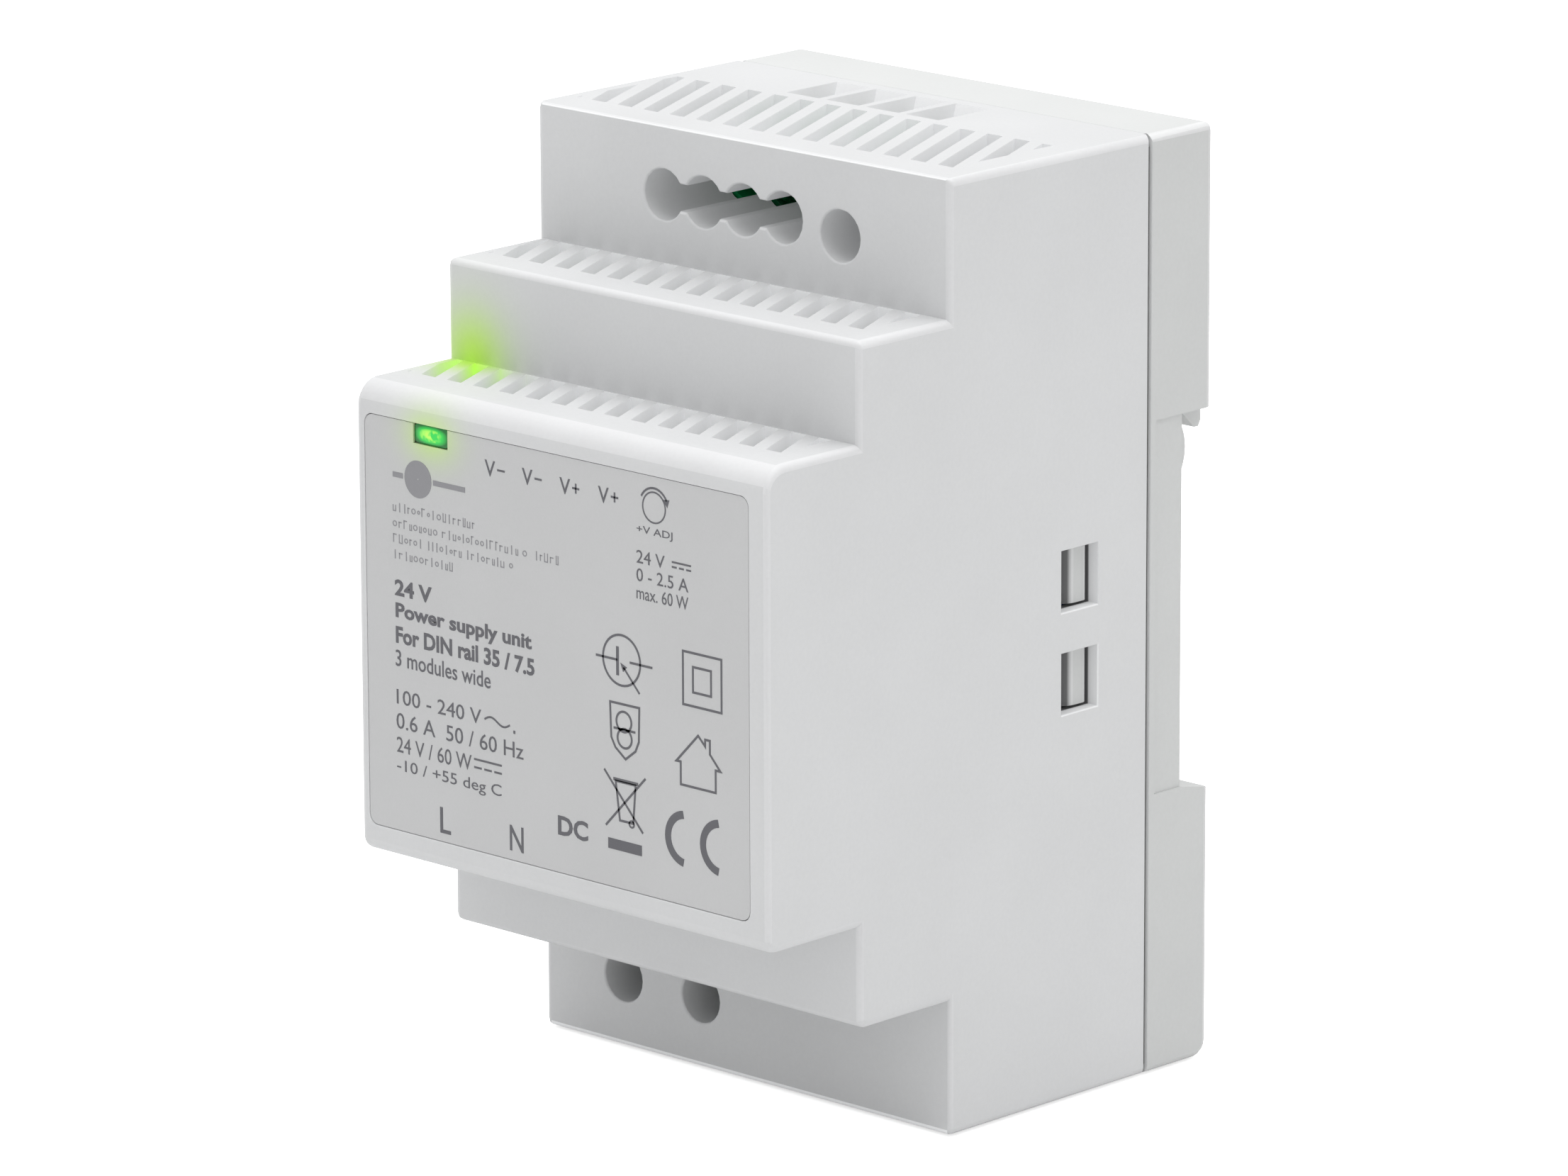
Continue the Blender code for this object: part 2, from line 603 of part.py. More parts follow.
# ---------------------------------------------------------------- latch and its spring
def make_latch():
    nose_front = SEAT_Y + RAIL_THICKNESS + GAP
    shoulder = -CHANNEL_HALF - CHANNEL_DROP
    tip = LATCH_OVERLAP - CHANNEL_HALF
    side_view = [(latch_front, latch_low), (latch_rear, latch_low), (latch_rear, shoulder + LATCH_SLOPE),
                 (nose_front + 0.5, tip), (nose_front, tip), (nose_front, shoulder),
                 (latch_front, shoulder - 0.4)]
    latch = plate("rail_latch", "X", [side_view], (-LATCH_HALF, LATCH_HALF))
    unite(latch, box("wings", (-wing_half, wing_half), (latch_front, latch_front + LATCH_WING_THICKNESS),
                     (latch_low + LATCH_WING_LOW, guide_top - GAP), cutters))
    through = (latch_floor - LONG, REAR_Y + LONG)
    cut(latch, box("spring_hole", around(0, SPRING_HOLE_WIDTH), through, latch_hole, cutters))
    wide, rise, tall = PULL_HOLE
    pull_z = (latch_low + rise, latch_low + rise + tall)
    cut(latch, box("pull_hole", around(0, wide), through, pull_z, cutters))
    set_origin(latch, (0, (latch_front + latch_rear) / 2, latch_low))
    return finish(latch, "latch_plastic")


def make_latch_spring():
    """A compression coil: its radius is held and its height rises evenly along the wire."""
    steps_per_turn = 12
    low, high = latch_post[1] + GAP + SPRING_WIRE, latch_hole[1] - GAP - SPRING_WIRE
    middle = (latch_front + latch_rear) / 2
    curve = bpy.data.curves.new("latch_spring", "CURVE")
    curve.dimensions = "3D"
    curve.bevel_depth = SPRING_WIRE * MM
    curve.bevel_resolution = 2
    curve.use_fill_caps = True
    spline = curve.splines.new("POLY")
    steps = SPRING_TURNS * steps_per_turn
    spline.points.add(steps)
    for i, point in enumerate(spline.points):
        angle = 2 * math.pi * i / steps_per_turn
        x, y = SPRING_MEAN * math.cos(angle), middle + SPRING_MEAN * math.sin(angle)
        height = low + (high - low) * i / steps
        point.co = (x * MM, y * MM, height * MM, 1.0)
    spring = add_object("latch_spring", curve)
    curve.materials.append(materials["zinc_steel"])
    return spring


# ---------------------------------------------------------------- label and lamp
def make_label():
    x = (LABEL_LEFT - half_width + GAP, half_width - LABEL_RIGHT - GAP)
    z = (LABEL_BOTTOM - NOSE_HEIGHT / 2 + GAP, label_top - GAP)
    back = NOSE_Y + RECESS_DEPTH - GAP
    label = plate("front_label", "Y", [rounded(x, z, LABEL_RADIUS)], (back - LABEL_THICKNESS, back))
    cut(label, box("lamp_notch", around(lamp_x, LAMP_WIDTH + 2 * GAP), (NOSE_Y - LONG, NOSE_Y + LONG),
                   (lamp_z - LAMP_HEIGHT / 2 - GAP, NOSE_HEIGHT), cutters))
    return finish(label, "label_film")


def make_lamp():
    led_tip = part_foot - LED_LENGTH
    wide, high = LAMP_WIDTH - 2 * PIPE_GAP, LAMP_HEIGHT - 2 * PIPE_GAP
    pipe = box("led_light_pipe", around(lamp_x, wide), (NOSE_Y + GAP, led_tip - GAP), around(lamp_z, high))
    collar_front = NOSE_Y + WALL + GAP
    unite(pipe, box("pipe_collar", around(lamp_x, wide + 1.6), (collar_front, collar_front + 1.2),
                    around(lamp_z, high + 1.2), cutters))
    finish(pipe, "lamp_lens")

    led = rod("status_led", "Y", (lamp_x, lamp_z), LED_RADIUS, (led_tip + 1.0, part_foot), 20)
    unite(led, rod("led_flange", "Y", (lamp_x, lamp_z), LED_RADIUS + 0.4, (part_foot - 1.0, part_foot - 0.1),
                   20, cutters))
    unite(led, rod("led_dome", "Y", (lamp_x, lamp_z), LED_RADIUS - 0.1, (led_tip, led_tip + 1.5), 20, cutters,
                   LED_RADIUS * 0.55))
    return finish(led, "lamp_lens")


# ---------------------------------------------------------------- terminals
def make_terminal(name, poles, pitch, z, side):
    """One moulded body, a contact bar in each pole, and a screw that lifts a clamp cage.

    side is +1 where the wires come in from above and -1 where they come from below.
    """
    front, rear = terminal_front, part_foot
    half = (poles[-1] - poles[0] + min(pitch, MOST_POLE_WIDTH)) / 2 + 0.2
    outer = rim_top_inner - GAP
    body = box(name + "_terminal_body", around((poles[0] + poles[-1]) / 2, 2 * half), (front, rear),
               sorted((side * outer, side * (outer - TERMINAL_HEIGHT))))

    cell_front = front + TERMINAL_FRONT_WALL
    cage_front = cell_front + GAP + CLAMP_TRAVEL
    bar_front = cage_front + CAGE_FRONT + 2 * GAP
    bar_rear = bar_front + CONTACT_THICKNESS
    cage_rear = bar_rear + WIRE_SPACE + CAGE_REAR
    bar_width = cage_width - 2 * CAGE_SIDE - 2 * GAP
    inner, tail = z + side * CELL_HEIGHT / 2, z - side * (CELL_HEIGHT / 2 + CONTACT_THICKNESS)
    cells, mouths, slits = [], [], []
    for i, x in enumerate(poles, start=1):
        cells.append(box("cell", around(x, cell_width), (cell_front, rear + LONG), around(z, CELL_HEIGHT),
                         cutters))
        mouths.append(rod("head_hole", "Y", (x, z), screw_head_radius + GAP, (front - LONG, cell_front + GAP),
                          20, cutters))
        wire_y = (bar_rear + 0.2, bar_rear + WIRE_SPACE)
        mouths.append(box("wire_mouth", around(x, cage_width - CAGE_SIDE), wire_y,
                          sorted((inner - side * GAP, side * (outer + GAP))), cutters))
        slits.append(box("bar_slit", around(x, bar_width + 2 * GAP), (bar_front - GAP, rear + LONG),
                         sorted((tail + side * 1.0, tail - side * GAP)), cutters))
        bar = box(f"{name}_contact_{i}", around(x, bar_width), (bar_front, bar_rear),
                  sorted((inner - side * GAP, tail)))
        unite(bar, box("foot", around(x, bar_width - 0.1), (bar_front + 0.1, rear),
                       sorted((tail + side * CONTACT_THICKNESS, tail + side * 0.05)), cutters))
        finish(bar, "tinned_brass")
    cut(body, joined(name + "_cells", cells))
    cut(body, joined(name + "_mouths", mouths))
    cut(body, joined(name + "_slits", slits))
    finish(body, "terminal_plastic")

    for i, x in enumerate(poles, start=1):
        make_screw(f"{name}_screw_{i}", x, z, cell_front - SCREW_HEAD_HEIGHT, bar_front - GAP)
        make_cage(f"{name}_clamp_{i}", x, z, cage_front, cage_rear)


def make_screw(name, x, z, head_front, tip):
    head_rear = head_front + SCREW_HEAD_HEIGHT
    screw = rod(name, "Y", (x, z), screw_head_radius, (head_front, head_rear), 20)
    unite(screw, rod(name + "_shank", "Y", (x, z), SCREW_RADIUS, (head_rear - 0.2, tip), 14, cutters))
    slot_y = (head_front - LONG, head_front + SCREW_SLOT_DEPTH)
    cut(screw, box(name + "_slot", around(x, SCREW_SLOT_WIDTH), slot_y, around(z, 2 * screw_head_radius + 1),
                   cutters))
    set_origin(screw, (x, head_front, z))
    return finish(screw, "zinc_steel")


def make_cage(name, x, z, front, rear):
    """A square ring round the wire, with the screw's hole in its front bar."""
    outer = rounded(around(x, cage_width), (front, rear), 0.3, 1)
    inner = rounded(around(x, cage_width - 2 * CAGE_SIDE), (front + CAGE_FRONT, rear - CAGE_REAR), 0.1, 1)
    cage = plate(name, "Z", [outer, inner], around(z, CAGE_HEIGHT))
    cut(cage, rod(name + "_thread", "Y", (x, z), SCREW_RADIUS + 0.15, (front - LONG, front + CAGE_FRONT + 0.5),
                  14, cutters))
    set_origin(cage, (x, front, z))
    return finish(cage, "zinc_steel")


# ---------------------------------------------------------------- output trimmer
def make_trimmer():
    rotor_rear = trimmer_front + ROTOR_LENGTH
    body = box("trimmer_body", around(trimmer_x, TRIMMER_SIZE), (trimmer_front + ROTOR_LENGTH / 2, part_foot),
               around(trimmer_z, TRIMMER_SIZE))
    cut(body, rod("rotor_pocket", "Y", (trimmer_x, trimmer_z), ROTOR_RADIUS + GAP,
                  (trimmer_front - LONG, rotor_rear + GAP), 24, cutters))
    finish(body, "trimmer_blue")
    rotor = rod("trimmer_rotor", "Y", (trimmer_x, trimmer_z), ROTOR_RADIUS, (trimmer_front, rotor_rear), 24)
    long, short = 1.45 * ROTOR_RADIUS, 0.32 * ROTOR_RADIUS
    cross_y = (trimmer_front - LONG, trimmer_front + ROTOR_LENGTH * 0.4)
    for wide, tall in ((short, long), (long, short)):
        cut(rotor, box("cross", around(trimmer_x, wide), cross_y, around(trimmer_z, tall), cutters))
    set_origin(rotor, (trimmer_x, trimmer_front, trimmer_z))
    return finish(rotor, "rotor_white")


# ---------------------------------------------------------------- parts on the board
def make_board():
    return finish(box("main_board", (GAP - rim_inner, rim_inner - GAP), (board_face, BOARD_REAR_Y),
                      (GAP - rim_top_inner, rim_top_inner - GAP)), "board_laminate")


def make_wound_core(name, x, z, size, leg, depth, winding, rise):
    """A shell core round a wound middle leg that runs along Z; rise lifts it off the board."""
    wide, tall = size
    half_leg, limb = leg / 2, leg / 2
    window_out = wide / 2 - limb
    window_z = tall / 2 - limb
    middle = part_foot - rise - depth / 2
    outer = [(x - wide / 2, z - tall / 2), (x + wide / 2, z - tall / 2),
             (x + wide / 2, z + tall / 2), (x - wide / 2, z + tall / 2)]
    holes = []
    for side in (1, -1):
        near, far = x + side * half_leg, x + side * window_out
        holes.append([(near, z - window_z), (far, z - window_z), (far, z + window_z), (near, z + window_z)])
    core = plate(name + "_core", "Y", [outer] + holes, around(middle, depth))
    finish(core, "ferrite")
    reach = window_out - GAP
    ring = rounded((x - reach, x + reach), around(middle, depth + 2 * (reach - half_leg)), 2.0, 3)
    hole_x, hole_y = around(x, leg + 2 * GAP), around(middle, depth + 2 * GAP)
    hole = [(hole_x[0], hole_y[0]), (hole_x[1], hole_y[0]), (hole_x[1], hole_y[1]), (hole_x[0], hole_y[1])]
    coil = plate(name + "_winding", "Z", [ring, hole], (z - window_z + GAP, z + window_z - GAP))
    finish(coil, winding)


def make_can(name, x, z, radius, length):
    """An electrolytic capacitor: a sleeved can with a rolled neck and a scored top."""
    top = part_foot - length
    can = rod(name, "Y", (x, z), radius, (top, part_foot), 28)
    soften(can, 0.5, 1)
    for wide, tall in ((0.4, radius * 1.3), (radius * 1.3, 0.4)):
        cut(can, box("score", around(x, wide), (top - 1.0, top + 0.25), around(z, tall), cutters))
    return finish(can, "capacitor_sleeve")


def make_disc(name, x, z, radius, thickness, look):
    """A disc part that stands on edge on its two leads."""
    middle = part_foot - radius - 1.5
    disc = rod(name, "X", (middle, z), radius, around(x, thickness), 20)
    soften(disc, thickness / 4, 2)
    for offset in (-radius / 2, radius / 2):
        unite(disc, box("lead", around(x, 0.6), (middle, part_foot), around(z + offset, 0.6), cutters))
    return finish(disc, look)


def make_block(name, x, z, sizes, look, edge=0.4):
    wide, deep, tall = sizes
    block = box(name, around(x, wide), (part_foot - deep, part_foot), around(z, tall))
    soften(block, edge, 1)
    return finish(block, look)


def make_transistor(name, x, z, across):
    """A flat three-lead package; across is the axis that its width lies along."""
    top, low = part_foot - 19.0, part_foot - 4.0
    thick, wide, tab_thick, tab_wide = 4.4, 10.0, 1.3, 9.6
    if across == "X":
        thick, wide, tab_thick, tab_wide = wide, thick, tab_wide, tab_thick
    package = box(name, around(x, thick), (top + 6.0, low), around(z, wide))
    unite(package, box("tab", around(x, tab_thick), (top, top + 7.0), around(z, tab_wide), cutters))
    for step in (-2.54, 0.0, 2.54):
        lead_x, lead_z = (x, z + step) if across == "Z" else (x + step, z)
        unite(package, box("lead", around(lead_x, 0.7), (low - 1.0, part_foot), around(lead_z, 0.7), cutters))
    return finish(package, "black_epoxy")


def make_heatsink(name, x, z, plate_size, fins_towards):
    """A folded plate with short fins on the side away from its transistor."""
    length, across = plate_size
    top = part_foot - 24.0
    if across == "Z":
        sheet = box(name, around(x, 1.4), (top, part_foot), around(z, length))
    else:
        sheet = box(name, around(x, length), (top, part_foot), around(z, 1.4))
    fins = []
    count = 4
    for i in range(count):
        offset = (i - (count - 1) / 2) * length / count
        start = 0.5 * fins_towards
        if across == "Z":
            fins.append(box("fin", sorted((x + start, x + 1.5 * fins_towards)), (top + 1.0, part_foot - 1.0),
                            around(z + offset, 1.0), cutters))
        else:
            fins.append(box("fin", around(x + offset, 1.0), (top + 1.0, part_foot - 1.0),
                            sorted((z + start, z + 1.5 * fins_towards)), cutters))
    unite(sheet, joined(name + "_fins", fins))
    return finish(sheet, "heatsink_aluminium")


def make_chip(name, x, z, body, pins):
    """A small package with a row of legs on each long side."""
    wide, deep, tall = body
    chip = box(name, around(x, wide), (part_foot - deep, part_foot - 0.6), around(z, tall))
    for i in range(pins):
        offset = (i - (pins - 1) / 2) * tall / pins
        unite(chip, box("leg", around(x, wide + 2.0), (part_foot - deep / 2, part_foot),
                        around(z + offset, 0.6), cutters))
    return finish(chip, "black_epoxy")


def make_fuse(x, z):
    """A cartridge in two end caps, lying along X above the board."""
    middle = part_foot - 3.4
    fuse = rod("input_fuse", "X", (middle, z), 2.1, around(x, 9.0), 16)
    for side in (1, -1):
        unite(fuse, rod("cap", "X", (middle, z), 2.5, around(x + side * 4.6, 2.4), 16, cutters))
        unite(fuse, box("leg", around(x + side * 4.6, 1.0), (middle, part_foot), around(z, 1.0), cutters))
    return finish(fuse, "film_box")


def make_inductor(x, z):
    """A drum: a wound waist between two flanges, turned from one profile."""
    top = part_foot - 12.0
    drum = rod("output_inductor", "Y", (x, z), 4.2, (top, top + 1.6), 24)
    unite(drum, rod("waist", "Y", (x, z), 3.7, (top + 1.0, part_foot - 1.0), 24, cutters))
    unite(drum, rod("flange", "Y", (x, z), 4.2, (part_foot - 1.6, part_foot), 24, cutters))
    return finish(drum, "ferrite")


def make_board_parts():
    make_wound_core("transformer", 4.0, 4.0, (23.0, 25.0), 6.6, 8.0, "winding_tape", 5.5)
    make_wound_core("input_choke", -11.5, -24.0, (15.0, 15.0), 4.0, 5.0, "copper_wire", 4.0)
    make_can("bulk_capacitor", 12.0, -24.0, 9.0, 24.0)
    make_can("output_capacitor_1", -7.6, 26.0, 5.0, 20.0)
    make_can("output_capacitor_2", 3.0, 26.0, 5.0, 20.0)
    make_inductor(-17.3, 27.0)
    make_block("x_capacitor", -0.5, -12.6, (13.0, 11.0, 5.0), "film_box")
    make_disc("y_capacitor", 19.5, 2.0, 3.5, 2.6, "ceramic_disc")
    make_disc("varistor", 18.0, -38.0, 4.0, 3.6, "ceramic_disc")
    make_disc("inrush_thermistor", -20.7, -22.0, 4.2, 2.8, "black_epoxy")
    make_block("bridge_rectifier", 19.5, -9.0, (3.6, 14.0, 11.0), "black_epoxy")
    make_fuse(7.0, -38.0)
    make_transistor("power_transistor", -17.2, 0.0, "Z")
    make_heatsink("transistor_heatsink", -20.4, 0.0, (24.0, "Z"), -1)
    make_transistor("output_diode", 15.0, 25.8, "X")
    make_heatsink("diode_heatsink", 15.0, 29.0, (12.0, "X"), 1)
    make_chip("optocoupler", -11.0, 10.5, (4.6, 3.5, 5.0), 2)
    make_chip("controller_chip", -11.5, -2.0, (4.0, 2.0, 6.0), 4)


# ---------------------------------------------------------------- assembly
clear_scene()
parts = new_collection("din_rail_power_supply")
cutters = new_collection("cutters")
make_materials()
make_front_housing()
make_rear_base()
make_latch()
make_latch_spring()
make_label()
make_lamp()
make_board()
make_terminal("output", output_poles, OUTPUT_PITCH, output_z, 1)
make_terminal("input", input_poles, INPUT_PITCH, input_z, -1)
make_trimmer()
make_board_parts()
for helper in cutters.objects:
    helper.hide_render = True
    helper.display_type = "WIRE"
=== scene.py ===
"""DIN rail power supply: the finished look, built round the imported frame.

Lengths are in metres. X runs across the front, Y to the rear and Z up. The rail seat is at the origin.
"""
import json
import math

import bmesh
import bpy
import numpy as np
from mathutils import Matrix, Vector


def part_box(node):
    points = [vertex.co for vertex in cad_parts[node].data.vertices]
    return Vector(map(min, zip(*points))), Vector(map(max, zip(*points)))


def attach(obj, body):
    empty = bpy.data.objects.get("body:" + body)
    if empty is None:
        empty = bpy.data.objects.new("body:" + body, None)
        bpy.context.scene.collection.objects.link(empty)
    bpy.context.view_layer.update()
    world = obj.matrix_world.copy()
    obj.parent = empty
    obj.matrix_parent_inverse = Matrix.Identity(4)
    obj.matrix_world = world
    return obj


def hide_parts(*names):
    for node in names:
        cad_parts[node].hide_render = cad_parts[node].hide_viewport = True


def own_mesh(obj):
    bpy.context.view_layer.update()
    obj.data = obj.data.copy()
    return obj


MM = 0.001
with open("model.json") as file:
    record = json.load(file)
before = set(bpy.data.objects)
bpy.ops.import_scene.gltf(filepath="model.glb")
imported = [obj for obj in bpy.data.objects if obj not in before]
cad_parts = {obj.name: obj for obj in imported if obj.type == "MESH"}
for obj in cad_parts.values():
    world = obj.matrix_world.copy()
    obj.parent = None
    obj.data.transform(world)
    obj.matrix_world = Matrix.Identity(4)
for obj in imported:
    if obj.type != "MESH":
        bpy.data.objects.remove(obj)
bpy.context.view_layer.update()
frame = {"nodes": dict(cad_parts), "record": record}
nodes = frame["nodes"]

# ---------------------------------------------------------------- measures read from the frame
shell_low, shell_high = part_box("front_housing")
label_low, label_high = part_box("front_label")
pipe_low, pipe_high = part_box("led_light_pipe")
half_width = shell_high.x
half_height = shell_high.z
nose_y = shell_low.y
step_depth, seam_width = 12 * MM, 0.35 * MM
mid_y = nose_y + step_depth
step_y = nose_y + 2 * step_depth
nose_top, mid_top = 22.5 * MM, 32 * MM      # half heights of the label block and of the middle step
split_y = shell_high.y + seam_width / 2     # middle of the seam between the two shells
lamp = Vector(((pipe_low.x + pipe_high.x) / 2, nose_y, (pipe_low.z + pipe_high.z) / 2))
leak = Vector((-23.0 * MM, mid_y, nose_top + 0.6 * MM))      # centre of the painted lamp glow, where the lamp's light escapes through the vents


# ---------------------------------------------------------------- mesh helpers
def new_piece(name, points, faces, material, body="case", smooth_angle=30):
    """One finished piece from rows of points in metres; edges sharper than smooth_angle stay crisp."""
    mesh = bpy.data.meshes.new(name)
    mesh.from_pydata(np.asarray(points, float).tolist(), [], faces)
    mesh.materials.append(material)
    item = bpy.data.objects.new(name, mesh)
    bpy.context.scene.collection.objects.link(item)
    shade(mesh, smooth_angle)
    if body:
        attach(item, body)
    return item


def ring_faces(rows, columns, first=0):
    """Four-sided faces between neighbouring rows of points, where each row is a closed ring."""
    here = np.arange(rows * columns).reshape(rows, columns) + first
    beside = np.roll(here, -1, 1)
    return np.stack([here[:-1], beside[:-1], beside[1:], here[1:]], -1).reshape(-1, 4).tolist()


def fan_faces(columns):
    """Triangles from point 0 to the ring of points 1 to columns."""
    here = np.arange(columns)
    return np.stack([np.zeros(columns, int), 1 + (here + 1) % columns, 1 + here], 1).tolist()


def shade(mesh, angle):
    """Smooth faces, with an edge kept sharp where its two faces turn by more than the angle."""
    shape = bmesh.new()
    shape.from_mesh(mesh)
    bmesh.ops.recalc_face_normals(shape, faces=shape.faces)
    for face in shape.faces:
        face.smooth = True
    limit = math.radians(angle)
    for edge in shape.edges:
        edge.smooth = len(edge.link_faces) == 2 and edge.calc_face_angle(0.0) < limit
    shape.to_mesh(mesh)
    shape.free()
    mesh.update()


def refill(mesh, level):
    """Fills the flat face at one height again, round its holes, after the rounding has moved its border."""
    shape = bmesh.new()
    shape.from_mesh(mesh)
    flat = {face for face in shape.faces if abs(face.normal.z) > 0.999
            and all(abs(vert.co.z - level) < 2e-6 for vert in face.verts)}
    border = [edge for edge in shape.edges if sum(face in flat for face in edge.link_faces) == 1]
    inner = [edge for edge in shape.edges if sum(face in flat for face in edge.link_faces) == 2]
    bmesh.ops.delete(shape, geom=list(flat), context="FACES_ONLY")
    bmesh.ops.delete(shape, geom=inner, context="EDGES")
    bmesh.ops.triangle_fill(shape, use_beauty=True, use_dissolve=False, edges=border, normal=(0, 0, 1))
    shape.to_mesh(mesh)
    shape.free()


def weighted(item):
    """Flat faces keep flat normals, so that only the rounded edges catch the light."""
    modifier = item.modifiers.new("even_shading", "WEIGHTED_NORMAL")
    modifier.mode = "FACE_AREA"
    modifier.keep_sharp = True


def mark_faces(mesh, carried):
    """Per face: a painted highlight on the rounded outer edges, palest on upward faces, and the strength of the
    painted light (emission) on the walls of the openings.
    """
    count = len(mesh.polygons)
    normals, centres = np.empty(count * 3), np.empty(count * 3)
    mesh.polygons.foreach_get("normal", normals)
    mesh.polygons.foreach_get("center", centres)
    normals, centres = normals.reshape(-1, 3), centres.reshape(-1, 3)
    slanted = np.abs(normals).max(1) < 0.985
    outer = slanted & (np.abs(centres[:, 0]) > half_width - 1.2 * MM)
    outer |= slanted & (np.abs(normals[:, 0]) < 0.01) & (np.abs(centres[:, 2]) > nose_top - 2.6 * MM)
    # painted highlight: edges facing up get 0.5, facing down 0.1, the rest 0.3, as the light falls from above
    pale = np.where(normals[:, 2] > 0.1, 0.5, np.where(normals[:, 2] < -0.1, 0.1, 0.3))
    # carried gives the strength of the painted light (emission) at the openings
    for title, values in (("painted_edge_highlight", outer * pale), ("painted_opening_light", carried(centres, normals))):
        layer = mesh.attributes.new(title, "FLOAT", "FACE")
        layer.data.foreach_set("value", np.asarray(values, np.float32))


def no_light(centres, normals):
    """For a shell with no openings to light."""
    return np.zeros(len(normals))


def rounded_copy(node, name, radius_of, material, body, refilled=(), carried=no_light):
    """The node's mesh again, with each edge rounded by the radius that radius_of gives for it."""
    source = nodes[node]
    shape = bmesh.new()
    shape.from_mesh(source.data)
    shape.transform(source.matrix_world)
    bmesh.ops.remove_doubles(shape, verts=shape.verts, dist=2e-6)
    bmesh.ops.dissolve_limit(shape, angle_limit=math.radians(0.5), verts=shape.verts, edges=shape.edges)
    bmesh.ops.recalc_face_normals(shape, faces=shape.faces)
    weight = shape.edges.layers.float.new("bevel_weight_edge")
    widest = 1.6 * MM
    for edge in shape.edges:
        if len(edge.link_faces) != 2 or edge.calc_face_angle(0.0) < math.radians(28):
            continue
        along = (edge.verts[1].co - edge.verts[0].co).normalized()
        middle = (edge.verts[0].co + edge.verts[1].co) / 2
        edge[weight] = min(1.0, radius_of(middle, along, edge) / widest)
    mesh = bpy.data.meshes.new(name)
    shape.to_mesh(mesh)
    shape.free()
    item = bpy.data.objects.new(name, mesh)
    bpy.context.scene.collection.objects.link(item)
    bevel = item.modifiers.new("rounding", "BEVEL")
    bevel.limit_method = "WEIGHT"
    bevel.width = widest
    bevel.segments = 3
    bevel.use_clamp_overlap = False
    bevel.miter_outer = "MITER_SHARP"
    graph = bpy.context.evaluated_depsgraph_get()
    made = bpy.data.meshes.new_from_object(item.evaluated_get(graph))
    made.name = name
    for level in refilled:
        refill(made, level)
    item.modifiers.clear()
    item.data = made
    made.materials.clear()
    made.materials.append(material)
    shade(made, 32)
    mark_faces(made, carried)
    weighted(item)
    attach(item, body)
    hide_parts(node)
    return item


# ---------------------------------------------------------------- material helpers
def group(name, outputs, inputs=()):
    """A node group and its two end nodes."""
    tree = bpy.data.node_groups.new(name, "ShaderNodeTree")
    for title, kind, value in inputs:
        socket = tree.interface.new_socket(title, in_out="INPUT", socket_type=kind)
        socket.default_value = value
    for title, kind in outputs:
        tree.interface.new_socket(title, in_out="OUTPUT", socket_type=kind)
    return tree, tree.nodes.new("NodeGroupInput"), tree.nodes.new("NodeGroupOutput")


def add(tree, kind, inputs=None, **settings):
    """One node, with its settings and its inputs filled in; an input that is a socket is linked."""
    node = tree.nodes.new(kind)
    for key, value in settings.items():
        setattr(node, key, value)
    for key, value in (inputs or {}).items():
        socket = node.inputs[key]
        if isinstance(value, bpy.types.NodeSocket):
            tree.links.new(value, socket)
        else:
            socket.default_value = value
    return node


def math_node(tree, operation, a, b=0.0, clamp=False):
    """One arithmetic step; each side is a number or a socket."""
    return add(tree, "ShaderNodeMath", {0: a, 1: b}, operation=operation, use_clamp=clamp).outputs[0]


def ramp(tree, value, low, high, to_low=0.0, to_high=1.0):
    """Carries low..high to to_low..to_high in a straight line, flat beyond."""
    node = add(tree, "ShaderNodeMapRange", {"Value": value, "From Min": low, "From Max": high,
                                            "To Min": to_low, "To Max": to_high}, clamp=True)
    return node.outputs["Result"]


def mix(tree, factor, a, b):
    """Colour a where the factor is 0, colour b where it is 1."""
    node = add(tree, "ShaderNodeMix", data_type="RGBA")
    for socket, value in ((node.inputs[0], factor), (node.inputs[6], a), (node.inputs[7], b)):
        if isinstance(value, bpy.types.NodeSocket):
            tree.links.new(value, socket)
        else:
            socket.default_value = value
    return node.outputs[2]


def grain_group():
    """Fine moulded texture: a height for the bump, and slow drifts of tone and roughness."""
    tree, start, end = group("moulded_grain", (("Tone", "NodeSocketFloat"), ("Roughness", "NodeSocketFloat"),
                                               ("Normal", "NodeSocketVector")),
                             (("Scale", "NodeSocketFloat", 2600.0), ("Depth", "NodeSocketFloat", 0.12),
                              ("Gloss", "NodeSocketFloat", 0.5)))
    place = add(tree, "ShaderNodeTexCoord").outputs["Object"]
    fine = add(tree, "ShaderNodeTexNoise", {"Vector": place, "Scale": start.outputs["Scale"], "Detail": 3.0})
    slow = add(tree, "ShaderNodeTexNoise", {"Vector": place, "Scale": 70.0, "Detail": 2.0})
    bump = add(tree, "ShaderNodeBump", {"Height": fine.outputs["Fac"], "Strength": start.outputs["Depth"],
                                        "Distance": 0.00008})
    tone = math_node(tree, "ADD", ramp(tree, slow.outputs["Fac"], 0.3, 0.7, 0.975, 1.01),
                     ramp(tree, fine.outputs["Fac"], 0.3, 0.7, -0.012, 0.012))
    rough = math_node(tree, "ADD", start.outputs["Gloss"],
                      ramp(tree, slow.outputs["Fac"], 0.3, 0.7, -0.04, 0.04))
    tree.links.new(tone, end.inputs["Tone"])
    tree.links.new(rough, end.inputs["Roughness"])
    tree.links.new(bump.outputs[0], end.inputs["Normal"])
    return tree


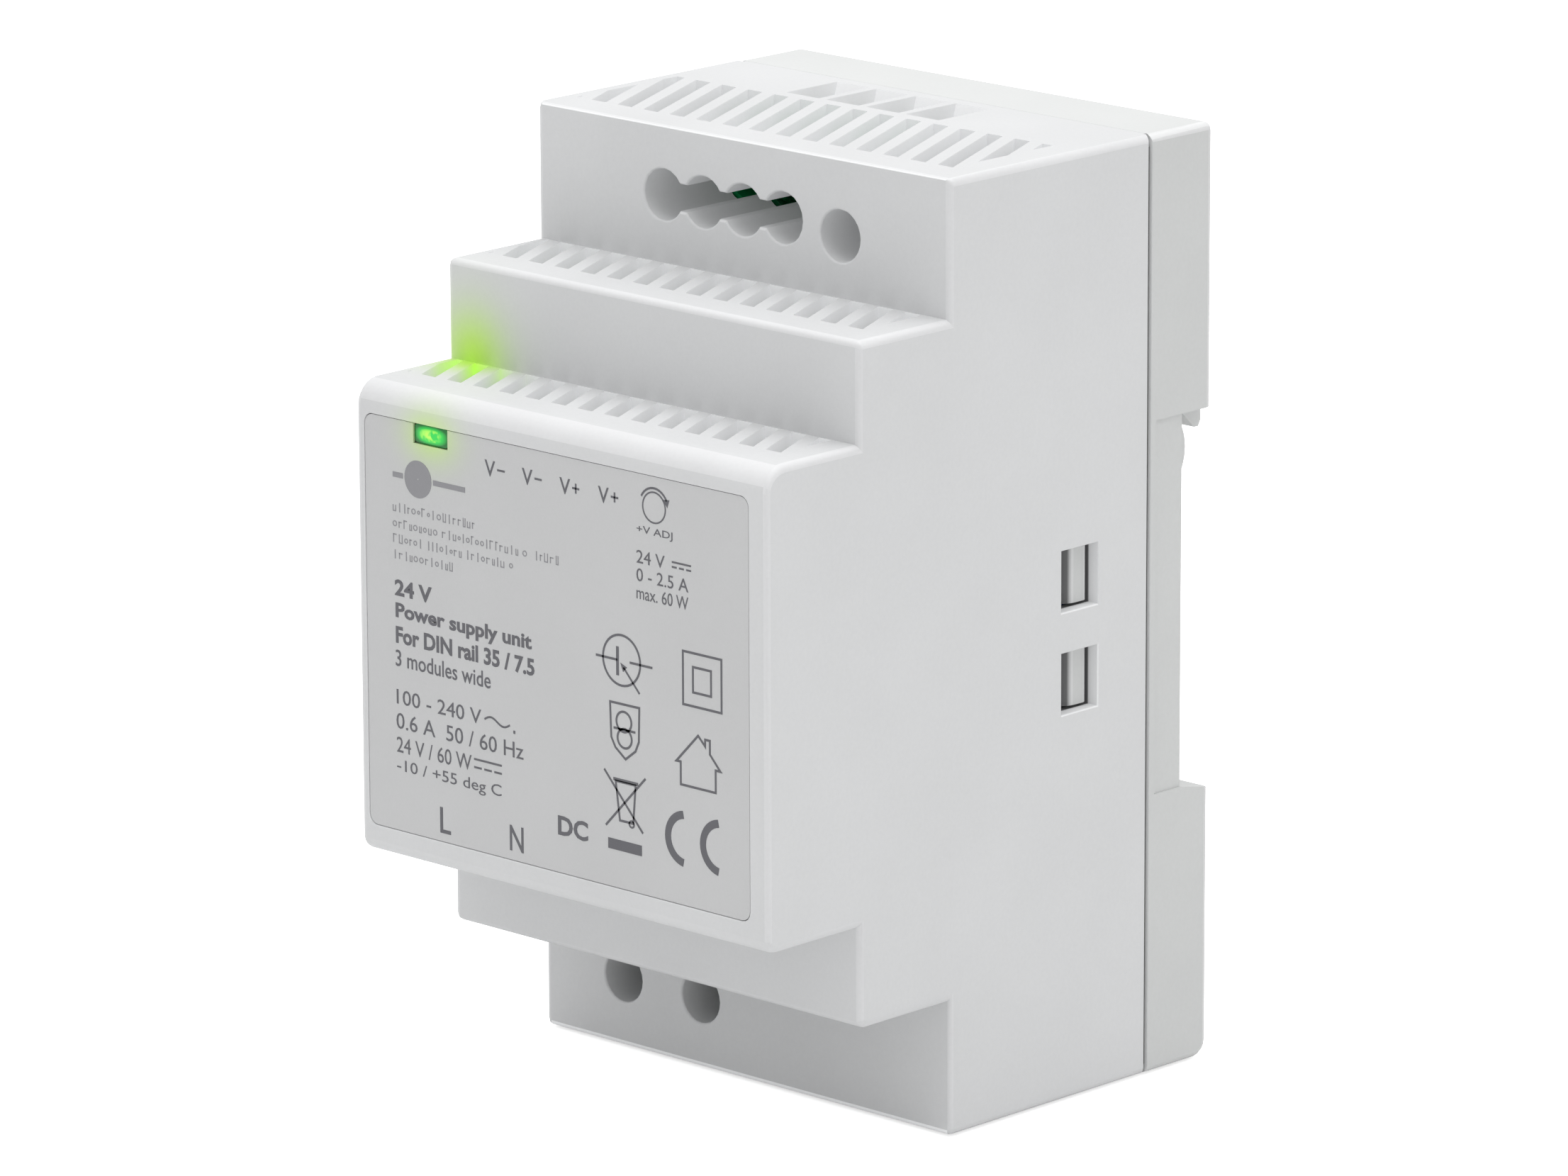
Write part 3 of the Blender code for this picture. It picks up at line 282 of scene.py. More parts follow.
def lines_group():
    """Fine lines along the stretched axis, as on drawn or brushed metal."""
    tree, start, end = group("drawn_lines", (("Tone", "NodeSocketFloat"), ("Roughness", "NodeSocketFloat"),
                                             ("Normal", "NodeSocketVector")),
                             (("Stretch", "NodeSocketVector", (6000.0, 6000.0, 300.0)),
                              ("Depth", "NodeSocketFloat", 0.15), ("Gloss", "NodeSocketFloat", 0.3)))
    place = add(tree, "ShaderNodeTexCoord").outputs["Object"]
    shaped = add(tree, "ShaderNodeVectorMath", {0: place, 1: start.outputs["Stretch"]}, operation="MULTIPLY")
    fine = add(tree, "ShaderNodeTexNoise", {"Vector": shaped.outputs[0], "Scale": 1.0, "Detail": 4.0})
    bump = add(tree, "ShaderNodeBump", {"Height": fine.outputs["Fac"], "Strength": start.outputs["Depth"],
                                        "Distance": 0.00005})
    tone = ramp(tree, fine.outputs["Fac"], 0.25, 0.75, 0.86, 1.08)
    rough = math_node(tree, "ADD", start.outputs["Gloss"],
                      ramp(tree, fine.outputs["Fac"], 0.3, 0.7, -0.08, 0.1))
    tree.links.new(tone, end.inputs["Tone"])
    tree.links.new(rough, end.inputs["Roughness"])
    tree.links.new(bump.outputs[0], end.inputs["Normal"])
    return tree


grain = grain_group()
lines = lines_group()


def material(name, colour, effect, settings, metallic=0.0, paint=None, **sockets):
    """A Principled finish: the colour times the effect's tone, after paint has varied the colour."""
    made = bpy.data.materials.new(name)
    made.use_nodes = True
    tree = made.node_tree
    shader = tree.nodes["Principled BSDF"]
    effect_node = add(tree, "ShaderNodeGroup", node_tree=effect)
    for key, value in settings.items():
        effect_node.inputs[key].default_value = value
    base = (*colour, 1.0)
    if paint:
        base = paint(tree, base)
    toned = add(tree, "ShaderNodeVectorMath", operation="SCALE")
    if isinstance(base, bpy.types.NodeSocket):
        tree.links.new(base, toned.inputs[0])
    else:
        toned.inputs[0].default_value = base[:3]
    tree.links.new(effect_node.outputs["Tone"], toned.inputs["Scale"])
    tree.links.new(toned.outputs[0], shader.inputs["Base Color"])
    tree.links.new(effect_node.outputs["Roughness"], shader.inputs["Roughness"])
    tree.links.new(effect_node.outputs["Normal"], shader.inputs["Normal"])
    shader.inputs["Metallic"].default_value = metallic
    for key, value in sockets.items():
        shader.inputs[key.replace("_", " ")].default_value = value
    return made


def axis_of(tree, letter):
    """The piece's own X, Y or Z."""
    place = add(tree, "ShaderNodeTexCoord").outputs["Object"]
    return add(tree, "ShaderNodeSeparateXYZ", {0: place}).outputs[letter]


def bands(tree, letter, period, share, soft=0.1):
    """1 inside evenly spaced bands along one axis, 0 between them."""
    phase = math_node(tree, "FRACT", math_node(tree, "MULTIPLY", axis_of(tree, letter), 1.0 / period))
    return ramp(tree, math_node(tree, "ABSOLUTE", math_node(tree, "SUBTRACT", phase, 0.5)),
                share / 2, share / 2 + soft, 1.0, 0.0)


def noise(tree, scale, low, high, detail=3.0):
    """Soft random spots, 0 below low and 1 above high."""
    place = add(tree, "ShaderNodeTexCoord").outputs["Object"]
    spots = add(tree, "ShaderNodeTexNoise", {"Vector": place, "Scale": scale, "Detail": detail})
    return ramp(tree, spots.outputs["Fac"], low, high)


def laminate_paint(tree, base):
    """Solder mask over copper: lighter tracks on a grid of cells, and bare tin spots."""
    place = add(tree, "ShaderNodeTexCoord").outputs["Object"]
    cells = add(tree, "ShaderNodeTexVoronoi", {"Vector": place, "Scale": 420.0}, distance="MANHATTAN",
                feature="F1")
    tracks = ramp(tree, cells.outputs["Distance"], 0.42, 0.5)
    spots = add(tree, "ShaderNodeTexVoronoi", {"Vector": place, "Scale": 260.0})
    tin = ramp(tree, spots.outputs["Distance"], 0.16, 0.2, 1.0, 0.0)
    green = mix(tree, tracks, base, (0.05, 0.26, 0.09, 1))
    return mix(tree, tin, green, (0.62, 0.62, 0.58, 1))


def sleeve_paint(tree, base):
    """A pale stripe with dark dashes down one side of the can."""
    stripe = bands(tree, "Z", 0.011, 0.22, 0.02)
    dashes = bands(tree, "Y", 0.004, 0.5, 0.05)
    pale = mix(tree, dashes, (0.62, 0.64, 0.66, 1), (0.16, 0.17, 0.2, 1))
    return mix(tree, stripe, base, pale)


def wire_paint(tree, base):
    """Turn beside turn of enamelled wire, with painted shade in the grooves between turns."""
    turns = bands(tree, "Z", 0.00055, 0.55, 0.35)
    return mix(tree, turns, (0.24, 0.07, 0.02, 1), base)


def tape_paint(tree, base):
    """Wound tape, with a darker line at each overlap."""
    edge = bands(tree, "Y", 0.0032, 0.86, 0.06)
    return mix(tree, edge, (0.42, 0.27, 0.02, 1), base)


def box_paint(tree, base):
    """Faint rows of stamped marks on a moulded box."""
    marks = math_node(tree, "MULTIPLY", bands(tree, "X", 0.0021, 0.6, 0.05),
                      bands(tree, "Z", 0.0026, 0.4, 0.05))
    return mix(tree, math_node(tree, "MULTIPLY", marks, 0.35), base, (0.12, 0.12, 0.14, 1))


def speck_paint(dark, scale=900.0, low=0.45, high=0.75):
    """A paint of small specks in a second colour."""
    def paint(tree, base):
        return mix(tree, noise(tree, scale, low, high), base, dark)
    return paint


def painted_lamp_glow(tree, base):
    """Painted glow: the lamp's green light painted into the colour near its window and where it leaks out; each
    spot fades as e^-(distance/size)^2.
    """
    place = add(tree, "ShaderNodeTexCoord").outputs["Object"]
    reach = None
    for spot, sizes, amount in ((lamp, (3.3, 3.0, 2.5), 0.62), (leak, (4.2, 3.4, 4.4), 0.95)):
        away = add(tree, "ShaderNodeVectorMath", {0: place, 1: tuple(spot)}, operation="SUBTRACT").outputs[0]
        scaled = add(tree, "ShaderNodeVectorMath", {0: away, 1: tuple(1 / (k * MM) for k in sizes)},
                     operation="MULTIPLY").outputs[0]
        squared = add(tree, "ShaderNodeVectorMath", {0: scaled, 1: scaled}, operation="DOT_PRODUCT")
        falling = math_node(tree, "MULTIPLY", squared.outputs["Value"], -1.0)
        glow = math_node(tree, "MULTIPLY", math_node(tree, "POWER", math.e, falling), amount)
        reach = glow if reach is None else math_node(tree, "MAXIMUM", reach, glow)
    return mix(tree, reach, base, (0.56, 0.90, 0.10, 1))


def window_painted_shade(tree):
    """Painted shade: 1 in the narrow gap round a snap hook, deeper than the hook's crown, and 0 outside it."""
    place = add(tree, "ShaderNodeTexCoord").outputs["Object"]
    x, y, z = add(tree, "ShaderNodeSeparateXYZ", {0: place}).outputs
    inside = None
    for coordinate, middle, reach, blur in ((x, half_width - 2.5 * MM, 1.28 * MM, 0.16 * MM),
                                            (y, step_y + 17.5 * MM, 3 * MM, 0.05 * MM),
                                            (z, 0, 9 * MM, 0.05 * MM)):
        away = math_node(tree, "ABSOLUTE", coordinate)
        if middle:
            away = math_node(tree, "ABSOLUTE", math_node(tree, "SUBTRACT", away, abs(middle)))
        near = math_node(tree, "ADD", math_node(tree, "MULTIPLY", away, -1 / blur), 0.5 + reach / blur, True)
        inside = near if inside is None else math_node(tree, "MULTIPLY", inside, near)
    return math_node(tree, "MULTIPLY", inside, 0.88)


def shell_paint(tree, base):
    """A painted highlight along the rounded edges, the lamp's painted glow, and painted shade near black deep
    in the snap windows.
    """
    edge = add(tree, "ShaderNodeAttribute", attribute_name="painted_edge_highlight").outputs["Fac"]
    glowing = painted_lamp_glow(tree, mix(tree, edge, base, (0.80, 0.80, 0.81, 1)))
    return mix(tree, window_painted_shade(tree), glowing, (0.045, 0.045, 0.048, 1))


def paint_opening_glow(made, colour):
    """Painted light: emission on the walls of the openings, in the case colour with the lamp's painted glow,
    dimmed by the painted shade in the snap windows.
    """
    tree = made.node_tree
    amount = add(tree, "ShaderNodeAttribute", attribute_name="painted_opening_light").outputs["Fac"]
    shader = tree.nodes["Principled BSDF"]
    dimmed = mix(tree, window_painted_shade(tree), painted_lamp_glow(tree, colour), (0.0, 0.0, 0.0, 1))
    tree.links.new(dimmed, shader.inputs["Emission Color"])
    tree.links.new(amount, shader.inputs["Emission Strength"])


plastic = {"Scale": 2600.0, "Depth": 0.10, "Gloss": 0.52}
case_plastic = material("case_plastic", (0.650, 0.656, 0.662), grain, plastic, paint=shell_paint)
base_plastic = material("base_plastic", (0.586, 0.595, 0.591), grain, plastic, paint=shell_paint)
paint_opening_glow(case_plastic, (0.64, 0.645, 0.65, 1))
paint_opening_glow(base_plastic, (0.60, 0.61, 0.60, 1))
latch_plastic = material("latch_plastic", (0.30, 0.31, 0.32), grain, {"Depth": 0.15, "Gloss": 0.48})
# the label carries the lamp's painted glow round the lens
label_film = material("label_film", (0.555, 0.558, 0.562), grain,
                      {"Scale": 5200.0, "Depth": 0.03, "Gloss": 0.42}, paint=painted_lamp_glow)
ink = {"Scale": 4000.0, "Depth": 0.05, "Gloss": 0.5}
print_ink = material("print_ink", (0.115, 0.115, 0.128), grain, ink)
pale_ink = material("pale_ink", (0.27, 0.27, 0.285), grain, ink)
finishes = {
    "terminal_plastic": material("terminal_plastic", (0.004, 0.30, 0.085), grain,
                                 {"Scale": 900.0, "Depth": 0.2, "Gloss": 0.18},
                                 paint=speck_paint((0.002, 0.06, 0.02, 1), 260.0, 0.5, 0.62)),
    "board_laminate": material("board_laminate", (0.016, 0.13, 0.045), grain,
                               {"Scale": 3200.0, "Depth": 0.15, "Gloss": 0.3}, paint=laminate_paint),
    "zinc_steel": material("zinc_steel", (0.66, 0.66, 0.67), lines, {"Stretch": (4000.0, 700.0, 4000.0)},
                           metallic=1.0, paint=speck_paint((0.50, 0.51, 0.54, 1))),
    "tinned_brass": material("tinned_brass", (0.74, 0.68, 0.50), lines, {"Stretch": (5000.0, 500.0, 5000.0)},
                             metallic=1.0, paint=speck_paint((0.78, 0.76, 0.70, 1), 500.0)),
    "trimmer_blue": material("trimmer_blue", (0.02, 0.10, 0.42), grain, {"Depth": 0.1, "Gloss": 0.35}),
    "rotor_white": material("rotor_white", (0.78, 0.78, 0.74), grain, {"Depth": 0.08, "Gloss": 0.4},
                            paint=speck_paint((0.66, 0.66, 0.60, 1), 500.0, 0.55, 0.7)),
    "ferrite": material("ferrite", (0.055, 0.055, 0.058), grain, {"Scale": 1800.0, "Depth": 0.5, "Gloss": 0.55},
                        paint=speck_paint((0.02, 0.02, 0.022, 1), 2400.0)),
    "winding_tape": material("winding_tape", (0.72, 0.52, 0.06), grain, {"Depth": 0.05, "Gloss": 0.28},
                             paint=tape_paint),
    "copper_wire": material("copper_wire", (0.72, 0.28, 0.09), lines, {"Stretch": (900.0, 900.0, 4000.0)},
                            metallic=0.85, paint=wire_paint),
    "capacitor_sleeve": material("capacitor_sleeve", (0.022, 0.026, 0.045), grain,
                                 {"Scale": 600.0, "Depth": 0.05, "Gloss": 0.28}, paint=sleeve_paint),
    "film_box": material("film_box", (0.70, 0.56, 0.10), grain, {"Depth": 0.12, "Gloss": 0.4}, paint=box_paint),
    "ceramic_disc": material("ceramic_disc", (0.03, 0.13, 0.38), grain,
                             {"Scale": 700.0, "Depth": 0.25, "Gloss": 0.3},
                             paint=speck_paint((0.02, 0.07, 0.24, 1), 400.0)),
    "black_epoxy": material("black_epoxy", (0.026, 0.026, 0.028), grain,
                            {"Scale": 2200.0, "Depth": 0.3, "Gloss": 0.45},
                            paint=speck_paint((0.06, 0.06, 0.062, 1), 1500.0, 0.55, 0.8)),
    "heatsink_aluminium": material("heatsink_aluminium", (0.72, 0.73, 0.74), lines,
                                   {"Stretch": (2500.0, 2500.0, 200.0)}, metallic=1.0,
                                   paint=speck_paint((0.60, 0.61, 0.63, 1))),
    "case_plastic": case_plastic,
    "base_plastic": base_plastic,
    "latch_plastic": latch_plastic,
    "label_film": label_film,
}


def lamp_material(name, strength):
    """A lit green lens: deep at its border, yellow-green where the light comes through."""
    made = material(name, (0.01, 0.16, 0.03), grain, {"Scale": 900.0, "Depth": 0.1, "Gloss": 0.2})
    tree = made.node_tree
    shader = tree.nodes["Principled BSDF"]
    place = add(tree, "ShaderNodeTexCoord").outputs["Object"]
    middle = add(tree, "ShaderNodeVectorMath", {0: place, 1: tuple(lamp)}, operation="SUBTRACT").outputs[0]
    parts = add(tree, "ShaderNodeSeparateXYZ", {0: middle}).outputs
    shares = [math_node(tree, "ABSOLUTE", math_node(tree, "MULTIPLY", parts[letter], 1 / half))
              for letter, half in (("X", 2.0 * MM), ("Z", 0.82 * MM))]
    spread = math_node(tree, "ADD", *(math_node(tree, "POWER", share, 2.6) for share in shares))
    cells = add(tree, "ShaderNodeTexNoise", {"Vector": place, "Scale": 1500.0, "Detail": 1.0}).outputs["Fac"]
    body = ramp(tree, spread, 0.35, 1.15, 1.0, 0.05)
    core = math_node(tree, "MULTIPLY", ramp(tree, spread, 0.0, 0.5, 1.0, 0.0), ramp(tree, cells, 0.42, 0.6))
    hue = mix(tree, core, (0.02, 0.55, 0.06, 1), (0.55, 0.95, 0.10, 1))
    tree.links.new(hue, shader.inputs["Emission Color"])
    tree.links.new(math_node(tree, "MULTIPLY", body, strength), shader.inputs["Emission Strength"])
    return made


finishes["lamp_lens"] = lamp_material("lamp_lens", 0.9)

# every frame node takes the finish of its slot
slot_of = {entry["node"]: entry["material_slot"] for entry in frame["record"]["subparts"]}
for node_name, item in nodes.items():
    item.data.materials.clear()
    item.data.materials.append(finishes[slot_of[node_name]])


# ---------------------------------------------------------------- the moulded shells
def close(a, b, reach=0.06 * MM):
    """True where two places agree within reach."""
    return abs(a - b) < reach


def housing_radius(middle, along, edge):
    """How round each edge of the front housing is, from where it lies and which way it runs."""
    if not edge.is_convex:
        return 0.0
    x, y, z = middle
    on_side = close(abs(x), half_width)
    if on_side and step_y + 14 * MM < y < step_y + 21 * MM and abs(z) < 9 * MM:
        return 0.14 * MM
    if on_side and y > split_y - 0.4 * MM:
        return 0.12 * MM
    if on_side:
        run = along.y ** 2
        return ((0.75 if z > 0 else 0.8) * run + 0.4 * (1 - run)) * MM
    if y > split_y - 0.4 * MM:
        return 0.12 * MM if close(z, -half_height) else 0.0
    for level_y, level_z in ((mid_y, mid_top), (step_y, half_height)):
        if close(y, level_y) and close(abs(z), level_z) and abs(along.x) > 0.9:
            return 0.6 * MM
        if level_y - 0.4 * MM < y < level_y - 0.05 * MM:
            return 0.0
    if close(y, step_y) and abs(z) > mid_top:
        return 0.24 * MM
    if close(y, nose_y):
        return 0.10 * MM
    return 0.0


def base_radius(middle, along, edge):
    """Rounding for the rear base: soft outer corners, crisp rail edges."""
    if not edge.is_convex:
        return 0.0
    x, y, z = middle
    if y < split_y + 0.4 * MM:
        return 0.12 * MM if close(abs(x), half_width) or close(z, -half_height) else 0.0
    if close(abs(x), half_width):
        return 0.0 if abs(z) < 18.4 * MM else 0.75 * MM
    return 0.0


def latch_radius(middle, along, edge):
    """A small even rounding on every outer edge of the latch."""
    return 0.2 * MM if edge.is_convex else 0.0


def housing_painted_light(centres, normals):
    """Painted light: emission strength on the walls of vents, wire funnels, snap windows and the upper
    screwdriver holes.
    """
    x, y, z = centres.T
    height = np.where(y < mid_y, nose_top, np.where(y < step_y, mid_top, half_height))
    sunk = height - np.abs(z)
    in_top = (sunk > 0.05 * MM) & (sunk < 2.02 * MM) & (np.abs(normals[:, 2]) < 0.9)
    in_top &= (np.abs(x) < half_width - 1.05 * MM) & (y > nose_y + 4 * MM) & (y < split_y - 0.5 * MM)
    in_top &= (np.abs(y - mid_y) > 2.05 * MM) | (np.abs(normals[:, 0]) > 0.3) | (y < mid_y)
    in_funnel = in_top & (y > step_y + 18 * MM)
    depth = half_width - np.abs(x)
    in_window = (depth > 0.02 * MM) & (depth < 1.9 * MM) & (np.abs(z) < 9 * MM)
    in_window &= (y > step_y + 14 * MM) & (y < step_y + 21 * MM)
    in_window &= (normals[:, 1] < -0.5) | (normals[:, 2] > 0.5)
    in_hole = (z > mid_top + 1 * MM) & (y > step_y + 0.3 * MM) & (y < -18 * MM) & (sunk > 3 * MM)
    in_hole &= (np.abs(normals[:, 1]) < 0.1) & (sunk < 10 * MM) & (np.abs(x) < 20 * MM)
    vent_light, funnel_light, window_light, hole_light = 0.34, 0.17, 0.22, 0.07
    return ((in_top & ~in_funnel) * vent_light + in_funnel * funnel_light + in_window * window_light
            + in_hole * hole_light)


def base_painted_light(centres, normals):
    """Painted light: a little emission on the upper face, and on the rim where it shows at the bottom of the
    wire funnels.
    """
    y, z = centres[:, 1], centres[:, 2]
    at_rim = (np.abs(z) > half_height - 4 * MM) & (y < split_y - 0.3 * MM)
    on_top = (z > half_height - 1 * MM) & (normals[:, 2] > 0.3) & ~at_rim
    rim_light, top_light = 0.10, 0.12
    return at_rim * rim_light + on_top * top_light


flat_levels = (nose_top, -nose_top, mid_top, -mid_top, half_height, -half_height)
housing = rounded_copy("front_housing", "moulded_housing", housing_radius, case_plastic, "case",
                       flat_levels, housing_painted_light)
base = rounded_copy("rear_base", "moulded_base", base_radius, base_plastic, "case", (), base_painted_light)
latch = rounded_copy("rail_latch", "moulded_latch", latch_radius, latch_plastic, "latch")


def pressed_coil():
    """The latch's spring as one smooth wire, attached to the case."""
    shape = bmesh.new()
    shape.from_mesh(nodes["latch_spring"].data)
    bmesh.ops.remove_doubles(shape, verts=shape.verts, dist=2e-6)
    mesh = bpy.data.meshes.new("pressed_coil")
    shape.to_mesh(mesh)
    shape.free()
    mesh.materials.append(finishes[slot_of["latch_spring"]])
    shade(mesh, 50)
    item = bpy.data.objects.new("pressed_coil", mesh)
    bpy.context.scene.collection.objects.link(item)
    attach(item, "case")
    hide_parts("latch_spring")
    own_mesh(item)


pressed_coil()


def swept(path, profile):
    """A profile of (y, depth) pairs carried along corners (x, z, inward x, inward z), with both ends closed.

    Each point is the corner plus the depth times the corner's inward pair, at the profile's own y.
    """
    path, profile = np.array(path, float)[:, None, :], np.array(profile, float)[None, :, :]
    depth = profile[..., 1]
    x, z = path[..., 0] + path[..., 2] * depth, path[..., 1] + path[..., 3] * depth
    points = np.stack([x, np.broadcast_to(profile[..., 0], x.shape), z], -1)
    rows, columns = x.shape
    ends = [list(range(columns))[::-1], list(range((rows - 1) * columns, rows * columns))]
    return points.reshape(-1, 3), ring_faces(rows, columns) + ends


def half_round(width, top, foot):
    """A strip's section: y is a cosine over the width, depth a sine down to top, then straight to foot."""
    turn, crown = np.radians(np.arange(0, 181, 20)), 0.05 * MM
    outer = np.stack([split_y + width / 2 * np.cos(turn), top + crown * (1 - np.sin(turn))], 1)
    return np.vstack([outer, [(split_y - width / 2, foot), (split_y + width / 2, foot)]])


bead_end, corner = half_width - 0.8 * MM, 1 * MM
bead_path = [(x, half_height, 0, -1) for x in np.linspace(-bead_end, bead_end, 9)]
bead = new_piece("seam_bead", *swept(bead_path, half_round(0.62 * MM, 0.0, 1.2 * MM)), case_plastic)

# a dark strip of painted shade in the seam: it runs down one side, round the two lower corners and up the other
# side
left_run = [(-half_width, half_height - 1.2 * MM, 1, 0), (-half_width, corner - half_height, 1, 0),
            (0.3 * MM - half_width, 0.3 * MM - half_height, 0.7, 0.7),
            (corner - half_width, -half_height, 0, 1)]
shadow_strip_path = left_run + [(-x, z, -in_x, in_z) for x, z, in_x, in_z in reversed(left_run)]
# near-black finish that stands for the shade deep in the seam between the shells
seam_shadow_finish = material("seam_shadow_finish", (0.035, 0.036, 0.038), grain,
                       {"Scale": 1500.0, "Depth": 0.2, "Gloss": 0.7}, paint=speck_paint((0.06, 0.06, 0.062, 1)))
seam_shadow = new_piece("seam_shadow_strip", *swept(shadow_strip_path, half_round(0.36 * MM, 0.3 * MM, 1.4 * MM)), seam_shadow_finish)


# ---------------------------------------------------------------- the label, drawn out to its recess
def fitted_label():
    """The label's own mesh with its border carried outwards until it meets the recess."""
    mesh = nodes["front_label"].data.copy()
    count = len(mesh.vertices)
    place = np.empty(count * 3)
    mesh.vertices.foreach_get("co", place)
    place = place.reshape(-1, 3)
    reach, border, side_shift, foot_shift = 0.24 * MM, 1.05 * MM, 0.2 * MM, 0.27 * MM
    offset = place[:, 0] - lamp.x
    at_lamp = place[:, 2] > lamp.z - 2 * MM
    notch = (np.abs(offset) < 3 * MM) & at_lamp
    for axis, low, high in ((0, label_low.x, label_high.x), (2, label_low.z, label_high.z)):
        edge_high, edge_low = place[:, axis] > high - border, place[:, axis] < low + border
        if axis == 0:
            edge_high, edge_low = edge_high & ~notch, edge_low & ~notch
        else:
            edge_high &= (place[:, 2] > high - 0.02 * MM) | ~notch
        place[edge_high, axis] += reach
        place[edge_low, axis] -= reach
    # the notch closes round the lens
    offset = place[:, 0] - lamp.x
    sides = (np.abs(offset) < 2.7 * MM) & (place[:, 2] > lamp.z - 2 * MM)
    place[sides, 0] -= np.sign(offset[sides]) * side_shift
    foot = sides & (place[:, 2] < lamp.z)
    place[foot, 2] += foot_shift
    mesh.vertices.foreach_set("co", place.ravel())
    mesh.name = "fitted_label"
    mesh.materials.clear()
    mesh.materials.append(label_film)
    item = bpy.data.objects.new("fitted_label", mesh)
    bpy.context.scene.collection.objects.link(item)
    bevel = item.modifiers.new("rounding", "BEVEL")
    bevel.width = 0.05 * MM
    bevel.segments = 2
    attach(item, "case")
    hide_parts("front_label")


fitted_label()


# ---------------------------------------------------------------- printing on the label
class Print:
    """Gathers thin raised shapes on the front of the label, a fiftieth of a millimetre proud of it."""

    def __init__(self, name, ink):
        self.name, self.ink = name, ink
        self.points, self.faces = [], []
        self.rear = label_low.y - 0.003 * MM
        self.front = label_low.y - 0.022 * MM

    def gather(self, points, faces):
        """Adds points and the faces that count from the first of them."""
        start = sum(map(len, self.points))
        self.points.append(points)
        self.faces += [[start + k for k in face] for face in faces]

    def prism(self, left, right, closed):
        """A strip between two rails of (x, z) points in millimetres, given its front and its rear."""
        count = len(left)
        flat = np.vstack([left, right, left, right]) * MM
        depth = np.repeat([self.front, self.rear], 2 * count)
        here = np.arange(count if closed else count - 1)
        beside = (here + 1) % count
        a, b, c, d = here, beside, count + beside, count + here
        e, f, g, h = (k + 2 * count for k in (a, b, c, d))
        sides = ((a, b, c, d), (h, g, f, e), (e, f, b, a), (d, c, g, h))
        faces = np.vstack([np.stack(side, 1) for side in sides]).tolist()
        if not closed:
            faces += [[i, count + i, 3 * count + i, 2 * count + i] for i in (0, count - 1)]
        self.gather(np.stack([flat[:, 0], depth, flat[:, 1]], 1), faces)

    def stroke(self, path, width, closed=False):
        """A line of even width along (x, z) points, mitred at its corners."""
        path = np.array(path, float)
        if closed:
            before, after = np.roll(path, 1, 0), np.roll(path, -1, 0)
        else:
            before = np.vstack([2 * path[0] - path[1], path[:-1]])
            after = np.vstack([path[1:], 2 * path[-1] - path[-2]])
        into = path - before
        out = after - path
        into /= np.linalg.norm(into, axis=1)[:, None]
        out /= np.linalg.norm(out, axis=1)[:, None]
        normal_in = np.stack([-into[:, 1], into[:, 0]], 1)
        normal_out = np.stack([-out[:, 1], out[:, 0]], 1)
        bisector = normal_in + normal_out
        bisector /= np.maximum(np.linalg.norm(bisector, axis=1), 1e-6)[:, None]
        reach = width / 2 / np.maximum((bisector * normal_in).sum(1), 0.35)
        offset = bisector * reach[:, None]
        self.prism(path + offset, path - offset, closed)

    def ring(self, centre, radius, width, start=0.0, end=360.0):
        """A circle or part of one, from start to end in degrees, anticlockwise."""
        closed = abs(end - start) >= 360
        steps = max(6, int(abs(end - start) / 9))
        angles = np.radians(np.linspace(start, end, steps + (0 if closed else 1), endpoint=not closed))
        path = np.stack([centre[0] + radius * np.cos(angles), centre[1] + radius * np.sin(angles)], 1)
        self.stroke(path, width, closed)

    def bar(self, x0, x1, z, width):
        """A level line from x0 to x1."""
        self.stroke([(x0, z), (x1, z)], width)

    def solid(self, outline):
        """A filled convex shape."""
        count = len(outline)
        flat = np.vstack([outline, outline]) * MM
        depth = np.repeat([self.front, self.rear], count)
        caps = [list(range(count)), list(range(count, 2 * count))[::-1]]
        self.gather(np.stack([flat[:, 0], depth, flat[:, 1]], 1), caps + ring_faces(2, count))

    def text(self, words, x0, x1, z0, z1, weight=0.0):
        """Words drawn as a mesh and stretched to fill a box in millimetres."""
        curve = bpy.data.curves.new("words", "FONT")
        curve.body = words
        curve.extrude = 0.5
        curve.offset = weight
        curve.resolution_u = 3
        item = bpy.data.objects.new("words", curve)
        bpy.context.scene.collection.objects.link(item)
        graph = bpy.context.evaluated_depsgraph_get()
        mesh = bpy.data.meshes.new_from_object(item.evaluated_get(graph))
        bpy.data.objects.remove(item)
        flat = np.empty(len(mesh.vertices) * 3)
        mesh.vertices.foreach_get("co", flat)
        flat = flat.reshape(-1, 3)
        share = (flat - flat.min(0)) / np.ptp(flat, axis=0)
        depth = np.where(flat[:, 2] > 0, self.front, self.rear)
        points = np.stack([(x0 + share[:, 0] * (x1 - x0)) * MM, depth, (z0 + share[:, 1] * (z1 - z0)) * MM], 1)
        self.gather(points, [polygon.vertices[:] for polygon in mesh.polygons])

    def finish(self):
        """Makes one piece of everything gathered."""
        item = new_piece(self.name, np.vstack(self.points), self.faces, self.ink)
        return item


dark = Print("label_print", print_ink)
thin = 0.22
for number, (x0, x1) in enumerate(((-9.50, -6.91), (-4.68, -2.15), (0.14, 2.66), (5.05, 7.60))):
    z0, z1 = (16.03, 17.54) if number < 2 else (15.96, 17.46)
    dark.text("V", x0, x0 + 1.35, z0, z1, 0.004)
    dark.bar(x0 + 1.62, x1, (z0 + z1) / 2, 0.19)
    if number > 1:
        middle_x = (x0 + 1.62 + x1) / 2
        dark.stroke([(middle_x, (z0 + z1) / 2 - 0.46), (middle_x, (z0 + z1) / 2 + 0.46)], 0.19)

# turning mark by the trimmer: a ring with an arrow round it
dark.ring((12.11, 16.58), 1.42, 0.15)
dark.ring((12.11, 16.58), 1.80, 0.2, 28, 152)
dark.solid([(14.05, 17.58), (13.24, 17.50), (13.78, 16.82)])
dark.text("+V ADJ", 9.90, 14.41, 13.78, 14.67, 0.0)

